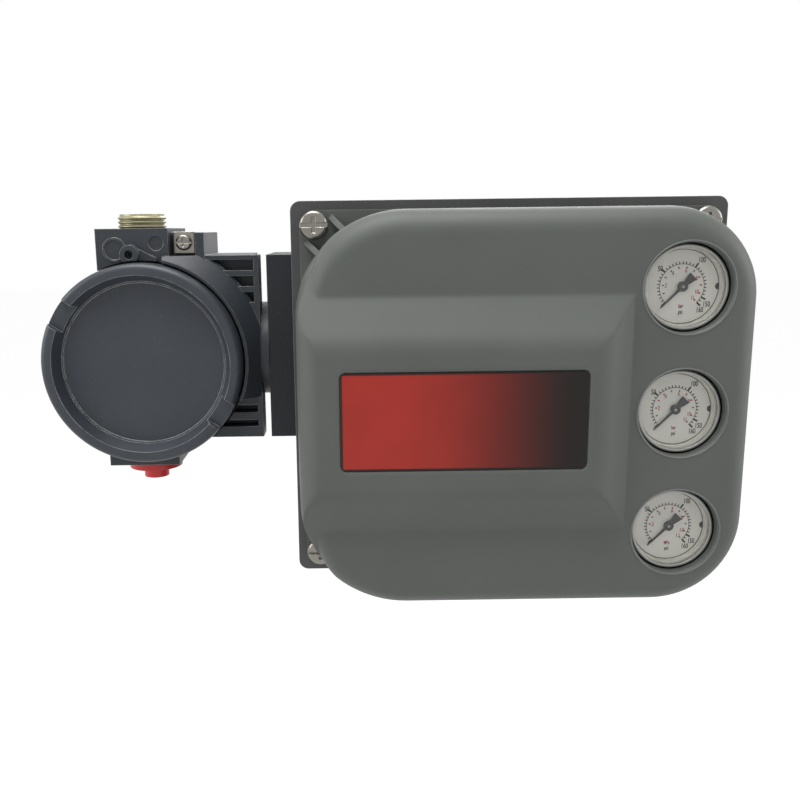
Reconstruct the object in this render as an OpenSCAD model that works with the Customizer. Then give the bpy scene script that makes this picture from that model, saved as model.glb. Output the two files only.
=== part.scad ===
// Digital valve positioner. A cast housing carries a linkage arm at its back and a pneumatic module
// at its front. A lift-off cover shows three pressure gauges, and a terminal box with a screw cap
// is bolted to the left side.
// Seen from the front, X runs right, Y runs back and Z runs up. Lengths are in millimetres.
// The origin is the centre of the four bracket bolts, on the back mounting face.

/* [Flange and cover] */
// Width of the rim round the cover
flange_w = 181; // [178:1:186]
// Height of the rim round the cover
flange_h = 160.4; // [158:0.2:164]
// Width of the cover's dome
dome_w = 179; // [176:0.5:180]
// Height of the cover's dome
dome_h = 157; // [154:0.5:158]
// Corner radius of the dome at the left, seen from the front
dome_left_r = 45; // [42:1:46]
// Corner radius of the dome at the right
dome_right_r = 35; // [34:0.5:37]
// Rounding of the dome's front edge
dome_fillet = 9; // [6:0.5:11]
// Depth from the rim to the front of the dome
dome_depth = 40.5; // [40:0.5:44]
// Height of the raised field on the front of the dome
field_rise = 9; // [6:0.5:11]
// Thickness of the cover's walls
cover_wall = 4; // [3.4:0.1:4.4]
// Distance of the dome's middle below the middle of the rim
cover_drop = 2.6; // [1:0.1:3]

/* [Housing] */
// Depth of the housing, from its back face to the module
housing_depth = 50; // [48:1:54]
// Thickness of the module base
base_depth = 12; // [10:0.5:13]
// Depth of the recess for the linkage arm
recess_depth = 18; // [17:0.5:20]
// Width of the bracket bolt pattern
bolt_x = 74.7; // [70:0.1:78]
// Height of the bracket bolt pattern
bolt_z = 57.2; // [54:0.1:60]
// Diameter of the bracket bolt holes
bolt_d = 8; // [6:0.5:9]
// Diameter of the tapped holes for the air lines
port_d = 11.4; // [10:0.2:13]

/* [Gauges] */
// Diameter of a gauge's case
gauge_d = 32.8; // [31:0.2:33]
// Distance from one gauge to the next
gauge_pitch = 48; // [46:0.5:49]
// Distance of the gauges from the middle plane
gauge_x = 61.2; // [60:0.2:62]
// Diameter of the holes in the cover
gauge_hole_d = 33.8; // [33.6:0.2:34.4]
// Distance of the gauge's front behind the front of the dome
gauge_sink = 3.5; // [2.5:0.5:5]

/* [Terminal box] */
// Distance of the screw cap's axis from the middle plane
cap_x = 155.6; // [155:0.2:158]
// Height of the screw cap's axis
cap_z = 12.8; // [12:0.2:14]
// Diameter of the screw cap
cap_d = 85.8; // [85:0.2:86.6]
// Pitch of the cap's thread
cap_pitch = 2; // [1.5:0.25:2.5]
// Diameter of the conduit threads
conduit_d = 21.3; // [20:0.1:21.5]
// Width of the gap between the terminal box and the housing
box_gap = 3.4; // [3:0.1:4]

/* [Linkage arm] */
// Distance of the arm's shaft from the middle plane
shaft_x = 50; // [49:0.5:51]
// Diameter of the arm's shaft
shaft_d = 8; // [7:0.1:9]
// Length of the arm, from the shaft to its tip
arm_len = 66; // [60:1:70]
// Width of the slot in the arm
arm_slot = 6.4; // [6:0.1:7]

/* [Hidden] */
$fn = 64;

// Colours of the finishes
casting_colour = [0.27, 0.27, 0.28];
box_colour = [0.28, 0.29, 0.32];
cover_colour = [0.35, 0.37, 0.35];
nickel_colour = [0.78, 0.77, 0.74];
zinc_colour = [0.55, 0.52, 0.38];
rubber_colour = [0.08, 0.08, 0.08];
black_colour = [0.06, 0.06, 0.06];
red_colour = [0.78, 0.16, 0.18];
label_colour = [0.55, 0.18, 0.15];
dial_colour = [0.80, 0.79, 0.75];
brass_colour = [0.75, 0.62, 0.32];
alloy_colour = [0.70, 0.70, 0.71];
board_colour = [0.10, 0.32, 0.18];
glass_colour = [0.85, 0.90, 0.92, 0.3];

// Cutters run past the faces that they open
over = 1;
// Room between pieces that slide on one another, and round seals in their grooves
fit = 0.05;
slack = 0.3;

// Stations along Y, from the back face to the front
recess_y = -recess_depth;
wall = 4;
chamber_y = recess_y - wall;
module_y = -housing_depth;
rim_y = module_y - base_depth;
cover_flange = 3;
plate_y = rim_y - cover_flange;
dome_y = rim_y - dome_depth;
field_y = dome_y - field_rise;
cover_z = -cover_drop;

// Housing casting
body_w = flange_w - 15;
body_h = flange_h - 15;
body_r = 14;
flange_r = 4.2;
housing_flange = 8;
skirt_y = -3;
skirt = 5;
pad_top = 58.2;
pad_bottom = -22;
pad_front = module_y;
pad_back = -6;
pad_x = -102.2;
lug_r = 11;
bolt_depth = 16;
manifold_w = 19;
port_y = -34;
port_boss_r = 11.5;
port_face = body_w / 2 + 4;
port_depth = 14;
arm_gap_h = 92;

// Seal between the housing and the module base
seal_inset = 6.5;
seal_r = 12;
seal_w = 2.2;
seal_d = 1.8;

// Cover fasteners and the ribs beside them
screw_inset = 9.8;
screw_x = flange_w / 2 - screw_inset;
screw_z = flange_h / 2 - screw_inset;
// The lower right screw stands further out, clear of the dome
screw_out = 1.8;
screw_spots = [
    [-screw_x, screw_z], [screw_x, screw_z], [-screw_x, -screw_z], [screw_x + screw_out, -screw_z - screw_out]
];
screw_r = 2.5;
screw_head_r = 5.8;
screw_head_h = 3;
screw_seat_r = 6.4;
screw_well_h = 9;
screw_well_wall = 2;
plate_inset = 3.8;
plate_r = 6.5;
rib_w = 2.4;
rib_apart = 14.4;
rib_start = 2.4;
rib_run = 14;
rib_rise = 11;
groove_w = 1.8;
groove_d = 1.5;

// Raised field of the cover
field_right = 29.6;
field_half = 29.2;
field_slope_x = 11.2;
field_slope_z = 16.9;
field_round = 14;
label_w = 92.3;
label_h = 37;
label_x = -23.9;
label_t = 0.8;
label_r = 2;

// Gauges
gauge_z = [cover_z + gauge_pitch, cover_z, cover_z - gauge_pitch];
hole_chamfer = 0.7;
gauge_y = dome_y + gauge_sink;
gauge_r = gauge_d / 2;
gauge_len = 26;
bezel = 1.3;
bezel_t = 1.2;
dial_r = gauge_r - 0.8;
window_t = 1.6;
dial_gap = 2.6;
dial_t = 0.8;
dial_y = gauge_y + bezel_t + window_t + dial_gap;
stem_r = 4.85;
stem_depth = 8;
spindle_r = 0.8;
spindle_len = 4;
zero_angle = 225;
pointer_len = 11.5;
pointer_t = 0.5;
pointer_y = dial_y - 1.2;
hub_r = 2.1;

// Terminal box
box_x = -cap_x;
cap_r = cap_d / 2;
cap_room = 0.9;
cap_front = rim_y + 2;
cap_back = cap_front + 17;
cap_top_t = 4.5;
collar_r = 36.5;
collar_front = cap_front + cap_top_t + 0.5;
thread_gap = 0.35;
compartment_r = 32.5;
compartment_y = -12;
barrel_r = 41.5;
barrel_back = -6;
block_front = rim_y + 10;
block_back = -12;
block_top = 70;
block_bottom = -34;
block_w = 31;
block_x = box_x - 3.4;
block_right = block_x + block_w / 2;
conduit_y = -30.5;
conduit_r = conduit_d / 2;
web_x = pad_x - box_gap;
neck_r = 21;
spigot_r = 13.5;
spigot_len = 9;
wire_r = 9.5;
neck_y = -30;
neck_z = 15.5;
neck_groove_d = 1.8;
neck_groove_w = 2.2;
box_screw_z = [neck_z + 17.3, neck_z - 17.3];
cap_ring_y = cap_back - 4;
cap_ring_w = 2;
cap_ring_d = 1.6;
thread_d = 0.7;
thread_w = 0.9;
flare_r = 52;
flare_h = 7;
flare_bottom = -4;
pocket_depth = 8;
pocket_margin = 2.2;
earth_y = pad_front + 8;
earth_w = 15;
earth_top = 68;
earth_wall = 3.8;
lock_spot = [box_x - 4.1, 59.1];
lock_r = 1.85;

// Linkage arm
shaft_r = shaft_d / 2;
bush_r = 7;
hub_out_r = 9;
arm_t = 4;
arm_w = 13;
arm_y = -12;
hub_back = -4;
hub_front = -16.5;
shaft_back = -3;
shaft_front = -43;
sensor_r = 12.5;
sensor_front = -46;
boss_r = 11;
boss_y = chamber_y - 4;
ear_z = 18;

// A round bar along Y, Z or X, from the lower value to the higher
module rod_y(r, y0, y1) {
    translate([0, y0, 0]) rotate([-90, 0, 0]) cylinder(r = r, h = y1 - y0);
}

module rod_z(r, z0, z1) {
    translate([0, 0, z0]) cylinder(r = r, h = z1 - z0);
}

module rod_x(r, x0, x1) {
    translate([x0, 0, 0]) rotate([0, 90, 0]) cylinder(r = r, h = x1 - x0);
}

// A block between two corners
module block(low, high) {
    translate(low) cube(high - low);
}

// A rectangle with round corners, centred on the origin
module round_rect(w, h, r) {
    square([w - 2 * r, h], center = true);
    square([w, h - 2 * r], center = true);
    for (sx = [-1, 1], sy = [-1, 1])
        translate([sx * (w / 2 - r), sy * (h / 2 - r)]) circle(r);
}

// An upright plate with round corners, between two stations along Y
module plate(w, h, r, y0, y1) {
    translate([0, y1, 0]) rotate([90, 0, 0]) linear_extrude(y1 - y0) round_rect(w, h, r);
}

// A frame of the given width, measured inwards from an outline
module frame(w, h, r, width, y0, y1) {
    difference() {
        plate(w, h, r, y0, y1);
        plate(w - 2 * width, h - 2 * width, r - width, y0 - over, y1 + over);
    }
}

// A ring round a Y axis
module ring_y(r_in, r_out, y0, y1) {
    translate([0, y0, 0]) rotate([-90, 0, 0]) rotate_extrude()
        translate([r_in, 0]) square([r_out - r_in, y1 - y0]);
}

// The four places that mirror one corner
module at_corners(x, z) {
    for (sx = [-1, 1], sz = [-1, 1])
        translate([sx * x, 0, sz * z]) children();
}

// A socket head screw along Y, with its head towards the front at y
module socket_screw(r, len, y) {
    head_r = r * 1.6;
    head_h = r * 2;
    rod_y(r, y, y + len);
    difference() {
        rod_y(head_r, y - head_h, y);
        translate([0, y - head_h - over, 0]) rotate([-90, 0, 0]) cylinder(r = r, h = r + over, $fn = 6);
    }
}

// A slotted pan head screw along Y, with its head towards the front at y
module pan_screw(r, len, head_r, head_h, y) {
    slot_w = head_r * 0.3;
    slot_depth = head_h * 0.45;
    round_r = head_h * 0.5;
    rod_y(r, y, y + len);
    difference() {
        translate([0, y, 0]) rotate([90, 0, 0]) rotate_extrude() pan_profile(head_r, head_h, round_r);
        block([-head_r - over, y - head_h - over, -slot_w / 2],
            [head_r + over, y - head_h + slot_depth, slot_w / 2]);
        block([-slot_w / 2, y - head_h - over, -head_r * 0.55],
            [slot_w / 2, y - head_h + slot_depth, head_r * 0.55]);
    }
}

// Half section of a pan head, with a round edge
module pan_profile(head_r, head_h, round_r) {
    square([head_r, head_h - round_r]);
    square([head_r - round_r, head_h]);
    intersection() {
        translate([head_r - round_r, head_h - round_r]) circle(round_r);
        translate([head_r - round_r, head_h - round_r]) square(round_r);
    }
}

// Half section of a pillar with a round top edge
module pillar_profile(r, height, edge) {
    square([r - edge, height]);
    square([r, height - edge]);
    intersection() {
        translate([r - edge, height - edge]) circle(edge);
        translate([r - edge, height - edge]) square(edge);
    }
}

// Section of a bar with two round top edges
module bar_profile(w, height, edge) {
    translate([-w / 2, 0]) square([w, height - edge]);
    translate([-w / 2 + edge, 0]) square([w - 2 * edge, height]);
    for (s = [-1, 1]) translate([s * (w / 2 - edge), height - edge]) circle(edge);
}

// The cover's dome, moved inwards by inset: round corners and a round front edge, from y to y - depth
module dome(inset, depth, y) {
    edge = dome_fillet - inset;
    half_w = dome_w / 2 - inset;
    half_h = dome_h / 2 - inset;
    left = dome_left_r - inset;
    right = dome_right_r - inset;
    translate([0, y, cover_z]) rotate([90, 0, 0]) {
        translate([left - half_w, 0, 0]) rotate([90, 0, 90])
            linear_extrude(2 * half_w - left - right) bar_profile(2 * half_h, depth, edge);
        for (side = [[left - half_w, left], [half_w - right, right]]) {
            r = side[1];
            translate([side[0], half_h - r, 0]) rotate([90, 0, 0])
                linear_extrude(2 * (half_h - r)) bar_profile(2 * r, depth, edge);
            for (s = [-1, 1])
                translate([side[0], s * (half_h - r), 0]) rotate_extrude() pillar_profile(r, depth, edge);
        }
    }
}

// Outline of the dome, moved inwards by inset
module dome_outline(inset) {
    half_w = dome_w / 2 - inset;
    half_h = dome_h / 2 - inset;
    left = dome_left_r - inset;
    right = dome_right_r - inset;
    translate([left - half_w, -half_h]) square([2 * half_w - left - right, 2 * half_h]);
    translate([-half_w, left - half_h]) square([half_w, 2 * (half_h - left)]);
    translate([0, right - half_h]) square([half_w, 2 * (half_h - right)]);
    for (s = [-1, 1]) {
        translate([left - half_w, s * (half_h - left)]) circle(left);
        translate([half_w - right, s * (half_h - right)]) circle(right);
    }
}

// A band that follows the dome's outline
module dome_band(inset, width, y0, y1) {
    translate([0, y1, cover_z]) rotate([90, 0, 0]) linear_extrude(y1 - y0) difference() {
        dome_outline(inset);
        dome_outline(inset + width);
    }
}

// Half section of the raised field: a flat top, a round edge and a ramp that ends below the dome's face
module ramp_section(half, slope) {
    steep = atan2(field_rise, slope);
    reach = field_round * tan(steep / 2);
    foot = half + slope * (field_rise + dome_fillet) / field_rise;
    polygon([
        [0, -dome_fillet], [foot, -dome_fillet],
        [half + reach * cos(steep), field_rise - reach * sin(steep)],
        [half - reach, field_rise], [0, field_rise]
    ]);
    translate([half - reach, field_rise - field_round]) circle(field_round);
}

// The raised field on the dome, which runs from the left wall and slopes down on its other three sides
module raised_field() {
    left = -dome_w / 2 - over;
    intersection() {
        dome(0, dome_depth + field_rise, rim_y);
        translate([left, dome_y, cover_z]) rotate([0, -90, 180]) linear_extrude(dome_w)
            for (s = [0, 1]) mirror([s, 0]) ramp_section(field_half, field_slope_z);
        translate([0, dome_y, dome_h]) rotate([180, 0, 0]) linear_extrude(2 * dome_h) {
            ramp_section(field_right, field_slope_x);
            translate([left, -dome_fillet]) square([over - left, dome_fillet + field_rise]);
        }
    }
}

module housing() {
    color(casting_colour) difference() {
        union() {
            difference() {
                plate(body_w, body_h, body_r, module_y, skirt_y);
                plate(body_w - 2 * skirt, body_h - 2 * skirt, body_r - skirt, recess_y, skirt_y + over);
                block([body_w / 2 - 2 * skirt, recess_y, -arm_gap_h / 2],
                    [body_w / 2 + over, skirt_y + over, arm_gap_h / 2]);
            }
            plate(flange_w, flange_h, flange_r, module_y, module_y + housing_flange);
            block([pad_x, pad_front, pad_bottom], [-body_w / 2 + skirt, pad_back, pad_top]);
            at_corners(bolt_x / 2, bolt_z / 2) rod_y(lug_r, recess_y - 1, 0);
            for (z = gauge_z) translate([0, port_y, z]) rod_x(port_boss_r, body_w / 2 - over, port_face);
        }
        difference() {
            plate(body_w - 2 * skirt, body_h - 2 * skirt, body_r - skirt, module_y - over, chamber_y);
            block([body_w / 2 - manifold_w, module_y - 2 * over, -flange_h / 2],
                [body_w / 2, 0, flange_h / 2]);
            translate([shaft_x, 0, 0]) rod_y(boss_r, boss_y, chamber_y + over);
            for (s = [-1, 1]) translate([shaft_x, 0, s * ear_z]) rod_y(4, boss_y, chamber_y + over);
            at_module_screws() rod_y(6.5, module_y - 2 * over, chamber_y + over);
        }
        translate([shaft_x, 0, 0]) rod_y(bush_r, boss_y - over, recess_y + over);
        for (s = [-1, 1]) translate([shaft_x, 0, s * ear_z]) rod_y(1.5, boss_y - over, boss_y + 6);
        at_corners(bolt_x / 2, bolt_z / 2) rod_y(bolt_d / 2, -bolt_depth, over);
        for (z = gauge_z)
            translate([0, port_y, z]) rod_x(port_d / 2, port_face - port_depth, port_face + over);
        translate([0, neck_y, neck_z]) rod_x(spigot_r + 0.1, pad_x - over, pad_x + spigot_len + 0.5);
        translate([0, neck_y, neck_z]) rod_x(wire_r, pad_x, -body_w / 2 + 2 * skirt);
        for (z = box_screw_z) translate([0, neck_y, z]) rod_x(2.6, pad_x - over, -body_w / 2 + 2 * skirt);
        at_vent() rod_y(5.05, chamber_y - over, recess_y + over);
        at_module_screws() rod_y(3.05, module_y - over, module_y + 14);
        frame(flange_w - 2 * seal_inset, flange_h - 2 * seal_inset, seal_r, seal_w,
            module_y - over, module_y + seal_d);
    }
}

module at_vent() {
    translate([-52, 0, -45]) children();
}

// Three screws hold the module base: two at the left and one at the right
module at_module_screws() {
    for (s = [-1, 1]) translate([-body_w / 2 + 9, 0, s * 46]) children();
    translate([body_w / 2 - 9, 0, cover_z + gauge_pitch / 2]) children();
}

module vent() {
    color(black_colour) at_vent() {
        rod_y(5, chamber_y, recess_y);
        difference() {
            rod_y(9, recess_y, recess_y + 7);
            for (a = [0, 60, 120]) rotate([0, a, 0])
                block([-10, recess_y + 4, -0.8], [10, recess_y + 8, 0.8]);
        }
    }
}

module shaft_bush() {
    color(brass_colour) translate([shaft_x, 0, 0]) ring_y(shaft_r + fit, bush_r, boss_y, recess_y);
}

module travel_sensor() {
    color(black_colour) translate([shaft_x, 0, 0]) difference() {
        union() {
            rod_y(sensor_r, sensor_front, boss_y);
            plate(10, 2 * ear_z + 9, 4.5, boss_y - 3, boss_y);
            block([-7, sensor_front + 2, -sensor_r - 6], [7, boss_y - 6, -sensor_r + 3]);
        }
        rod_y(shaft_r + slack, shaft_front - slack, 0);
        for (s = [-1, 1]) translate([0, 0, s * ear_z]) rod_y(1.6, boss_y - 4, 0);
    }
}

module sensor_screws() {
    color(nickel_colour) for (s = [-1, 1])
        translate([shaft_x, 0, s * ear_z]) pan_screw(1.5, 8, 2.8, 2, boss_y - 3);
}

module feedback_shaft() {
    color(nickel_colour) translate([shaft_x, 0, 0]) rod_y(shaft_r, shaft_front, shaft_back);
}

// Arm clamped on the shaft, with a long slot for the pin of the valve's linkage
module feedback_arm() {
    slot_start = 24;
    slot_end = arm_len - 8;
    color(nickel_colour) translate([shaft_x, 0, 0]) difference() {
        union() {
            rod_y(hub_out_r, hub_front, hub_back);
            block([0, arm_y, -arm_w / 2], [arm_len - arm_w / 2, arm_y + arm_t, arm_w / 2]);
            translate([arm_len - arm_w / 2, 0, 0]) rod_y(arm_w / 2, arm_y, arm_y + arm_t);
            block([-15, hub_front, -6], [0, hub_back, 6]);
        }
        rod_y(shaft_r + 0.01, hub_front - over, hub_back + over);
        block([-16, hub_front - over, -0.8], [0, hub_back + over, 0.8]);
        block([slot_start, arm_y - over, -arm_slot / 2], [slot_end, arm_y + arm_t + over, arm_slot / 2]);
        for (x = [slot_start, slot_end])
            translate([x, 0, 0]) rod_y(arm_slot / 2, arm_y - over, arm_y + arm_t + over);
        translate([-11, (hub_front + hub_back) / 2, 0]) rod_z(2.05, -7, 7);
    }
}

module arm_clamp_screw() {
    color(nickel_colour) translate([shaft_x - 11, (hub_front + hub_back) / 2, 0]) difference() {
        union() {
            rod_z(2, -6, 6);
            rod_z(3.5, 6, 10);
        }
        translate([0, 0, 8]) cylinder(r = 1.7, h = 3, $fn = 6);
    }
}

// Wire that presses the linkage's pin against one side of the slot
module bias_spring() {
    wire = 0.6;
    side = 2.6;
    run = [20, arm_len - 6];
    y = arm_y + arm_t + wire;
    color(nickel_colour) translate([shaft_x, y, 0]) {
        translate([0, 0, side]) rod_x(wire, run[0], run[1]);
        for (x = run) translate([x, 0, side]) sphere(wire);
        translate([run[0], 0, 0]) rod_z(wire, -3, side);
    }
}

module module_base() {
    color(casting_colour) difference() {
        plate(flange_w, flange_h, flange_r, rim_y, module_y);
        at_cover_screws() rod_y(screw_r + 0.1, rim_y - over, module_y - 2);
        for (z = gauge_z) translate([gauge_x, 0, z]) rod_y(stem_r + fit, rim_y - over, rim_y + stem_depth);
        at_module_screws() rod_y(3.3, rim_y - over, module_y + over);
        at_module_screws() rod_y(5.4, rim_y - over, module_y - 5.5);
        at_ip_screws() rod_y(1.55, rim_y - over, rim_y + 8);
        at_relay_screws() rod_y(2.05, rim_y - over, rim_y + 9);
        at_electronics_screws() rod_y(1.55, rim_y - over, rim_y + 8);
        translate([-62, 0, neck_z]) rod_y(7, rim_y - over, module_y + over);
    }
}

module module_base_seal() {
    color(rubber_colour)
        frame(flange_w - 2 * seal_inset - 2 * fit, flange_h - 2 * seal_inset - 2 * fit, seal_r - fit,
            seal_w - 2 * fit, module_y, module_y + seal_d - fit);
}

module module_screws() {
    color(nickel_colour) at_module_screws() socket_screw(3, 17, module_y - 5.5);
}

// Converter that turns the current signal into an air signal
ip_mid = [14, 0, 36];
ip_size = [42, 20, 36];

module at_ip_screws() {
    for (sx = [-1, 1], sz = [-1, 1])
        translate([ip_mid[0] + sx * 17, 0, ip_mid[2] + sz * 14]) children();
}

module ip_converter() {
    color(alloy_colour) difference() {
        union() {
            block([ip_mid[0] - ip_size[0] / 2, rim_y - ip_size[1], ip_mid[2] - ip_size[2] / 2],
                [ip_mid[0] + ip_size[0] / 2, rim_y, ip_mid[2] + ip_size[2] / 2]);
            translate([ip_mid[0], 0, ip_mid[2]]) rod_y(11, rim_y - ip_size[1] - 9, rim_y - ip_size[1]);
        }
        at_ip_screws() rod_y(1.6, rim_y - ip_size[1] - over, rim_y + over);
        at_ip_screws() rod_y(3, rim_y - ip_size[1] - over, rim_y - 5);
    }
}

module ip_screws() {
    color(nickel_colour) at_ip_screws() socket_screw(1.5, 12, rim_y - 5);
}

module ip_shroud() {
    out = [ip_size[0] + 5, ip_size[2] + 5];
    front = rim_y - ip_size[1] - 12;
    color(black_colour) translate([ip_mid[0], 0, ip_mid[2]]) difference() {
        plate(out[0], out[1], 4, front, rim_y);
        plate(out[0] - 4, out[1] - 4, 1, front + 2, rim_y + over);
        for (z = [-8, 0, 8])
            block([-out[0] / 2 - over, front + 8, z - 1.5], [-out[0] / 2 + 3, rim_y - 6, z + 1.5]);
    }
}

// Relay that feeds the actuator: a body, a diaphragm stack and a cap
relay_mid = [14, 0, -32];
relay_size = [44, 20, 50];

module at_relay_screws() {
    for (sx = [-1, 1], sz = [-1, 1])
        translate([relay_mid[0] + sx * 17.5, 0, relay_mid[2] + sz * 20.5]) children();
}

module pneumatic_relay() {
    y0 = rim_y - 1;
    front = y0 - relay_size[1];
    color(alloy_colour) difference() {
        union() {
            translate([relay_mid[0], 0, relay_mid[2]]) plate(relay_size[0], relay_size[2], 6, front, y0);
            translate([relay_mid[0], 0, relay_mid[2]]) {
                rod_y(17, front - 5, front);
                rod_y(18.5, front - 7.5, front - 5);
                rod_y(14, front - 14, front - 7.5);
            }
        }
        at_relay_screws() rod_y(2.1, front - over, rim_y);
        at_relay_screws() rod_y(3.8, front - over, front + 5);
        translate([relay_mid[0], 0, relay_mid[2]])
            block([-9, front - 15, -1], [9, front - 12.5, 1]);
    }
}

module relay_seal() {
    color(rubber_colour) difference() {
        translate([relay_mid[0], 0, relay_mid[2]])
            plate(relay_size[0] - 2, relay_size[2] - 2, 5, rim_y - 1, rim_y);
        at_relay_screws() rod_y(2.1, rim_y - 2, rim_y + over);
        for (z = [-12, 0, 12])
            translate([relay_mid[0], 0, relay_mid[2] + z]) rod_y(4, rim_y - 2, rim_y + over);
    }
}

module relay_screws() {
    front = rim_y - 1 - relay_size[1];
    color(nickel_colour) at_relay_screws() socket_screw(2, 24, front + 5);
}

// Potted circuit board in its plastic tray
tray_mid = [-44, 0, 0];
tray_size = [62, 26, 112];

module at_electronics_screws() {
    for (sx = [-1, 1], sz = [-1, 1])
        translate([tray_mid[0] + sx * 26, 0, tray_mid[2] + sz * 51]) children();
}

module electronics_module() {
    front = rim_y - tray_size[1];
    color(black_colour) difference() {
        union() {
            translate([tray_mid[0], 0, tray_mid[2]]) {
                plate(tray_size[0], tray_size[2], 4, front, rim_y);
                plate(tray_size[0] - 22, 60, 3, front - 6, front);
            }
        }
        at_electronics_screws() rod_y(1.6, front - over, rim_y + over);
        at_electronics_screws() rod_y(4, front - over, rim_y - 4);
        translate([-62, 0, neck_z]) rod_y(7, rim_y - 10, rim_y + over);
    }
}

module electronics_screws() {
    color(nickel_colour) at_electronics_screws() pan_screw(1.5, 10, 2.9, 2, rim_y - 4);
}

// Gauge case with a bezel, a hexagon and a threaded stem
module gauge_case(z) {
    back = gauge_y + gauge_len;
    inner = dial_r + fit;
    color(nickel_colour) translate([gauge_x, 0, z]) {
        difference() {
            translate([0, back, 0]) rotate([90, 0, 0]) rotate_extrude()
                pillar_profile(gauge_r, gauge_len, 0.8);
            rod_y(gauge_r - bezel, gauge_y - over, gauge_y + bezel_t + over);
            rod_y(inner, gauge_y + bezel_t, back - 2);
            rod_y(2, back - 3, back + over);
        }
        difference() {
            union() {
                translate([0, back, 0]) rotate([-90, 0, 0]) cylinder(r = 8, h = 7, $fn = 6);
                rod_y(stem_r, back + 7, rim_y + stem_depth);
            }
            rod_y(2, back - over, rim_y + stem_depth + over);
        }
    }
}

module gauge_dial(z) {
    color(dial_colour) translate([gauge_x, 0, z]) difference() {
        rod_y(dial_r, dial_y, dial_y + dial_t);
        rod_y(spindle_r + 0.1, dial_y - over, dial_y + dial_t + over);
    }
}

module gauge_window(z) {
    color(glass_colour) translate([gauge_x, 0, z])
        rod_y(dial_r, gauge_y + bezel_t, gauge_y + bezel_t + window_t);
}

// Pointer at zero, with a fan-shaped tail, on its spindle
module gauge_pointer(z) {
    tail = 6;
    tail_half = 24;
    color(black_colour) translate([gauge_x, 0, z]) rotate([0, -zero_angle, 0]) {
        translate([0, pointer_y + pointer_t, 0]) rotate([90, 0, 0]) linear_extrude(pointer_t) {
            polygon([[0, 0.9], [pointer_len, 0.25], [pointer_len, -0.25], [0, -0.9],
                [-tail * cos(tail_half), -tail * sin(tail_half)],
                [-tail * cos(tail_half), tail * sin(tail_half)]]);
        }
        rod_y(hub_r, pointer_y - 0.4, pointer_y + pointer_t);
        rod_y(spindle_r, pointer_y, pointer_y + spindle_len);
    }
}

// Bent pressure tube on its block, with the plate that carries the pointer's spindle
module gauge_movements() {
    back = gauge_y + gauge_len - 2;
    tube_r = 10;
    color(brass_colour) for (z = gauge_z) translate([gauge_x, 0, z]) {
        translate([0, back - 6, 0]) rotate([90, 0, 0]) rotate([0, 0, -100]) rotate_extrude(angle = 280)
            translate([tube_r, 0]) circle(1.6);
        difference() {
            union() {
                block([-3.5, back - 9, -tube_r - 2], [3.5, back, 3.5]);
                block([-6, back - 11, -4], [6, back - 9, 4]);
            }
            rod_y(spindle_r + fit, back - 12, back - 4);
            rod_y(2, back - 4, back + over);
        }
    }
}

module supply_case() { gauge_case(gauge_z[0]); }
module supply_dial() { gauge_dial(gauge_z[0]); }
module supply_pointer() { gauge_pointer(gauge_z[0]); }
module supply_window() { gauge_window(gauge_z[0]); }
module output_a_case() { gauge_case(gauge_z[1]); }
module output_a_dial() { gauge_dial(gauge_z[1]); }
module output_a_pointer() { gauge_pointer(gauge_z[1]); }
module output_a_window() { gauge_window(gauge_z[1]); }
module output_b_case() { gauge_case(gauge_z[2]); }
module output_b_dial() { gauge_dial(gauge_z[2]); }
module output_b_pointer() { gauge_pointer(gauge_z[2]); }
module output_b_window() { gauge_window(gauge_z[2]); }

module at_cover_screws() {
    for (spot = screw_spots) translate([spot[0], 0, spot[1]]) children();
}

// Two sloping ribs stand beside each cover screw, along the corner's diagonal
module corner_ribs() {
    for (spot = screw_spots) {
        turn = atan2(sign(spot[1]), sign(spot[0]));
        for (s = [-1, 1])
            translate([spot[0], plate_y, spot[1]]) rotate([0, -turn, 0])
                translate([-rib_start, 0, s * rib_apart / 2 - rib_w / 2])
                    linear_extrude(rib_w) polygon([[-rib_run, 0.5], [0, 0.5], [0, 0], [-rib_run, -rib_rise]]);
    }
}

module cover() {
    groove_inset = (cover_wall - groove_w) / 2;
    hole_r = gauge_hole_d / 2;
    color(cover_colour) difference() {
        union() {
            dome(0, dome_depth, rim_y);
            raised_field();
            plate(flange_w - 2 * plate_inset, flange_h - 2 * plate_inset, plate_r, plate_y, rim_y);
            corner_ribs();
        }
        difference() {
            dome(cover_wall, dome_depth - cover_wall + over, rim_y + over);
            at_cover_screws() rod_y(screw_seat_r + screw_well_wall,
                plate_y - screw_well_h - screw_well_wall, rim_y + 2 * over);
        }
        block([-dome_w / 2 + dome_fillet + cover_wall, field_y + cover_wall, cover_z - field_half + 2],
            [field_right - 4, dome_y + 2 * cover_wall, cover_z + field_half - 2]);
        for (z = gauge_z) translate([gauge_x, 0, z]) {
            rod_y(hole_r, dome_y - over, dome_y + 2 * cover_wall);
            translate([0, dome_y + hole_chamfer, 0]) rotate([90, 0, 0])
                cylinder(r1 = hole_r, r2 = hole_r + 2 * hole_chamfer, h = 2 * hole_chamfer);
        }
        at_cover_screws() rod_y(screw_r + 0.2, plate_y - over, rim_y + over);
        at_cover_screws() rod_y(screw_seat_r, plate_y - screw_well_h, plate_y);
        translate([label_x, 0, cover_z])
            plate(label_w + 1.2, label_h + 1.2, label_r + 0.6, field_y - over, field_y + label_t);
        dome_band(groove_inset, groove_w, rim_y - groove_d, rim_y + over);
    }
}

module cover_seal() {
    inset = (cover_wall - groove_w) / 2 + fit;
    color(rubber_colour) dome_band(inset, groove_w - 2 * fit, rim_y - groove_d + fit, rim_y - fit);
}

module cover_screws() {
    color(nickel_colour) at_cover_screws()
        pan_screw(screw_r, cover_flange + 8, screw_head_r, screw_head_h, plate_y);
}

module label_plate() {
    color(label_colour) translate([label_x, 0, cover_z])
        plate(label_w, label_h, label_r, field_y - 0.1, field_y + label_t);
}

module at_box() {
    translate([box_x, 0, cap_z]) children();
}

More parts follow.
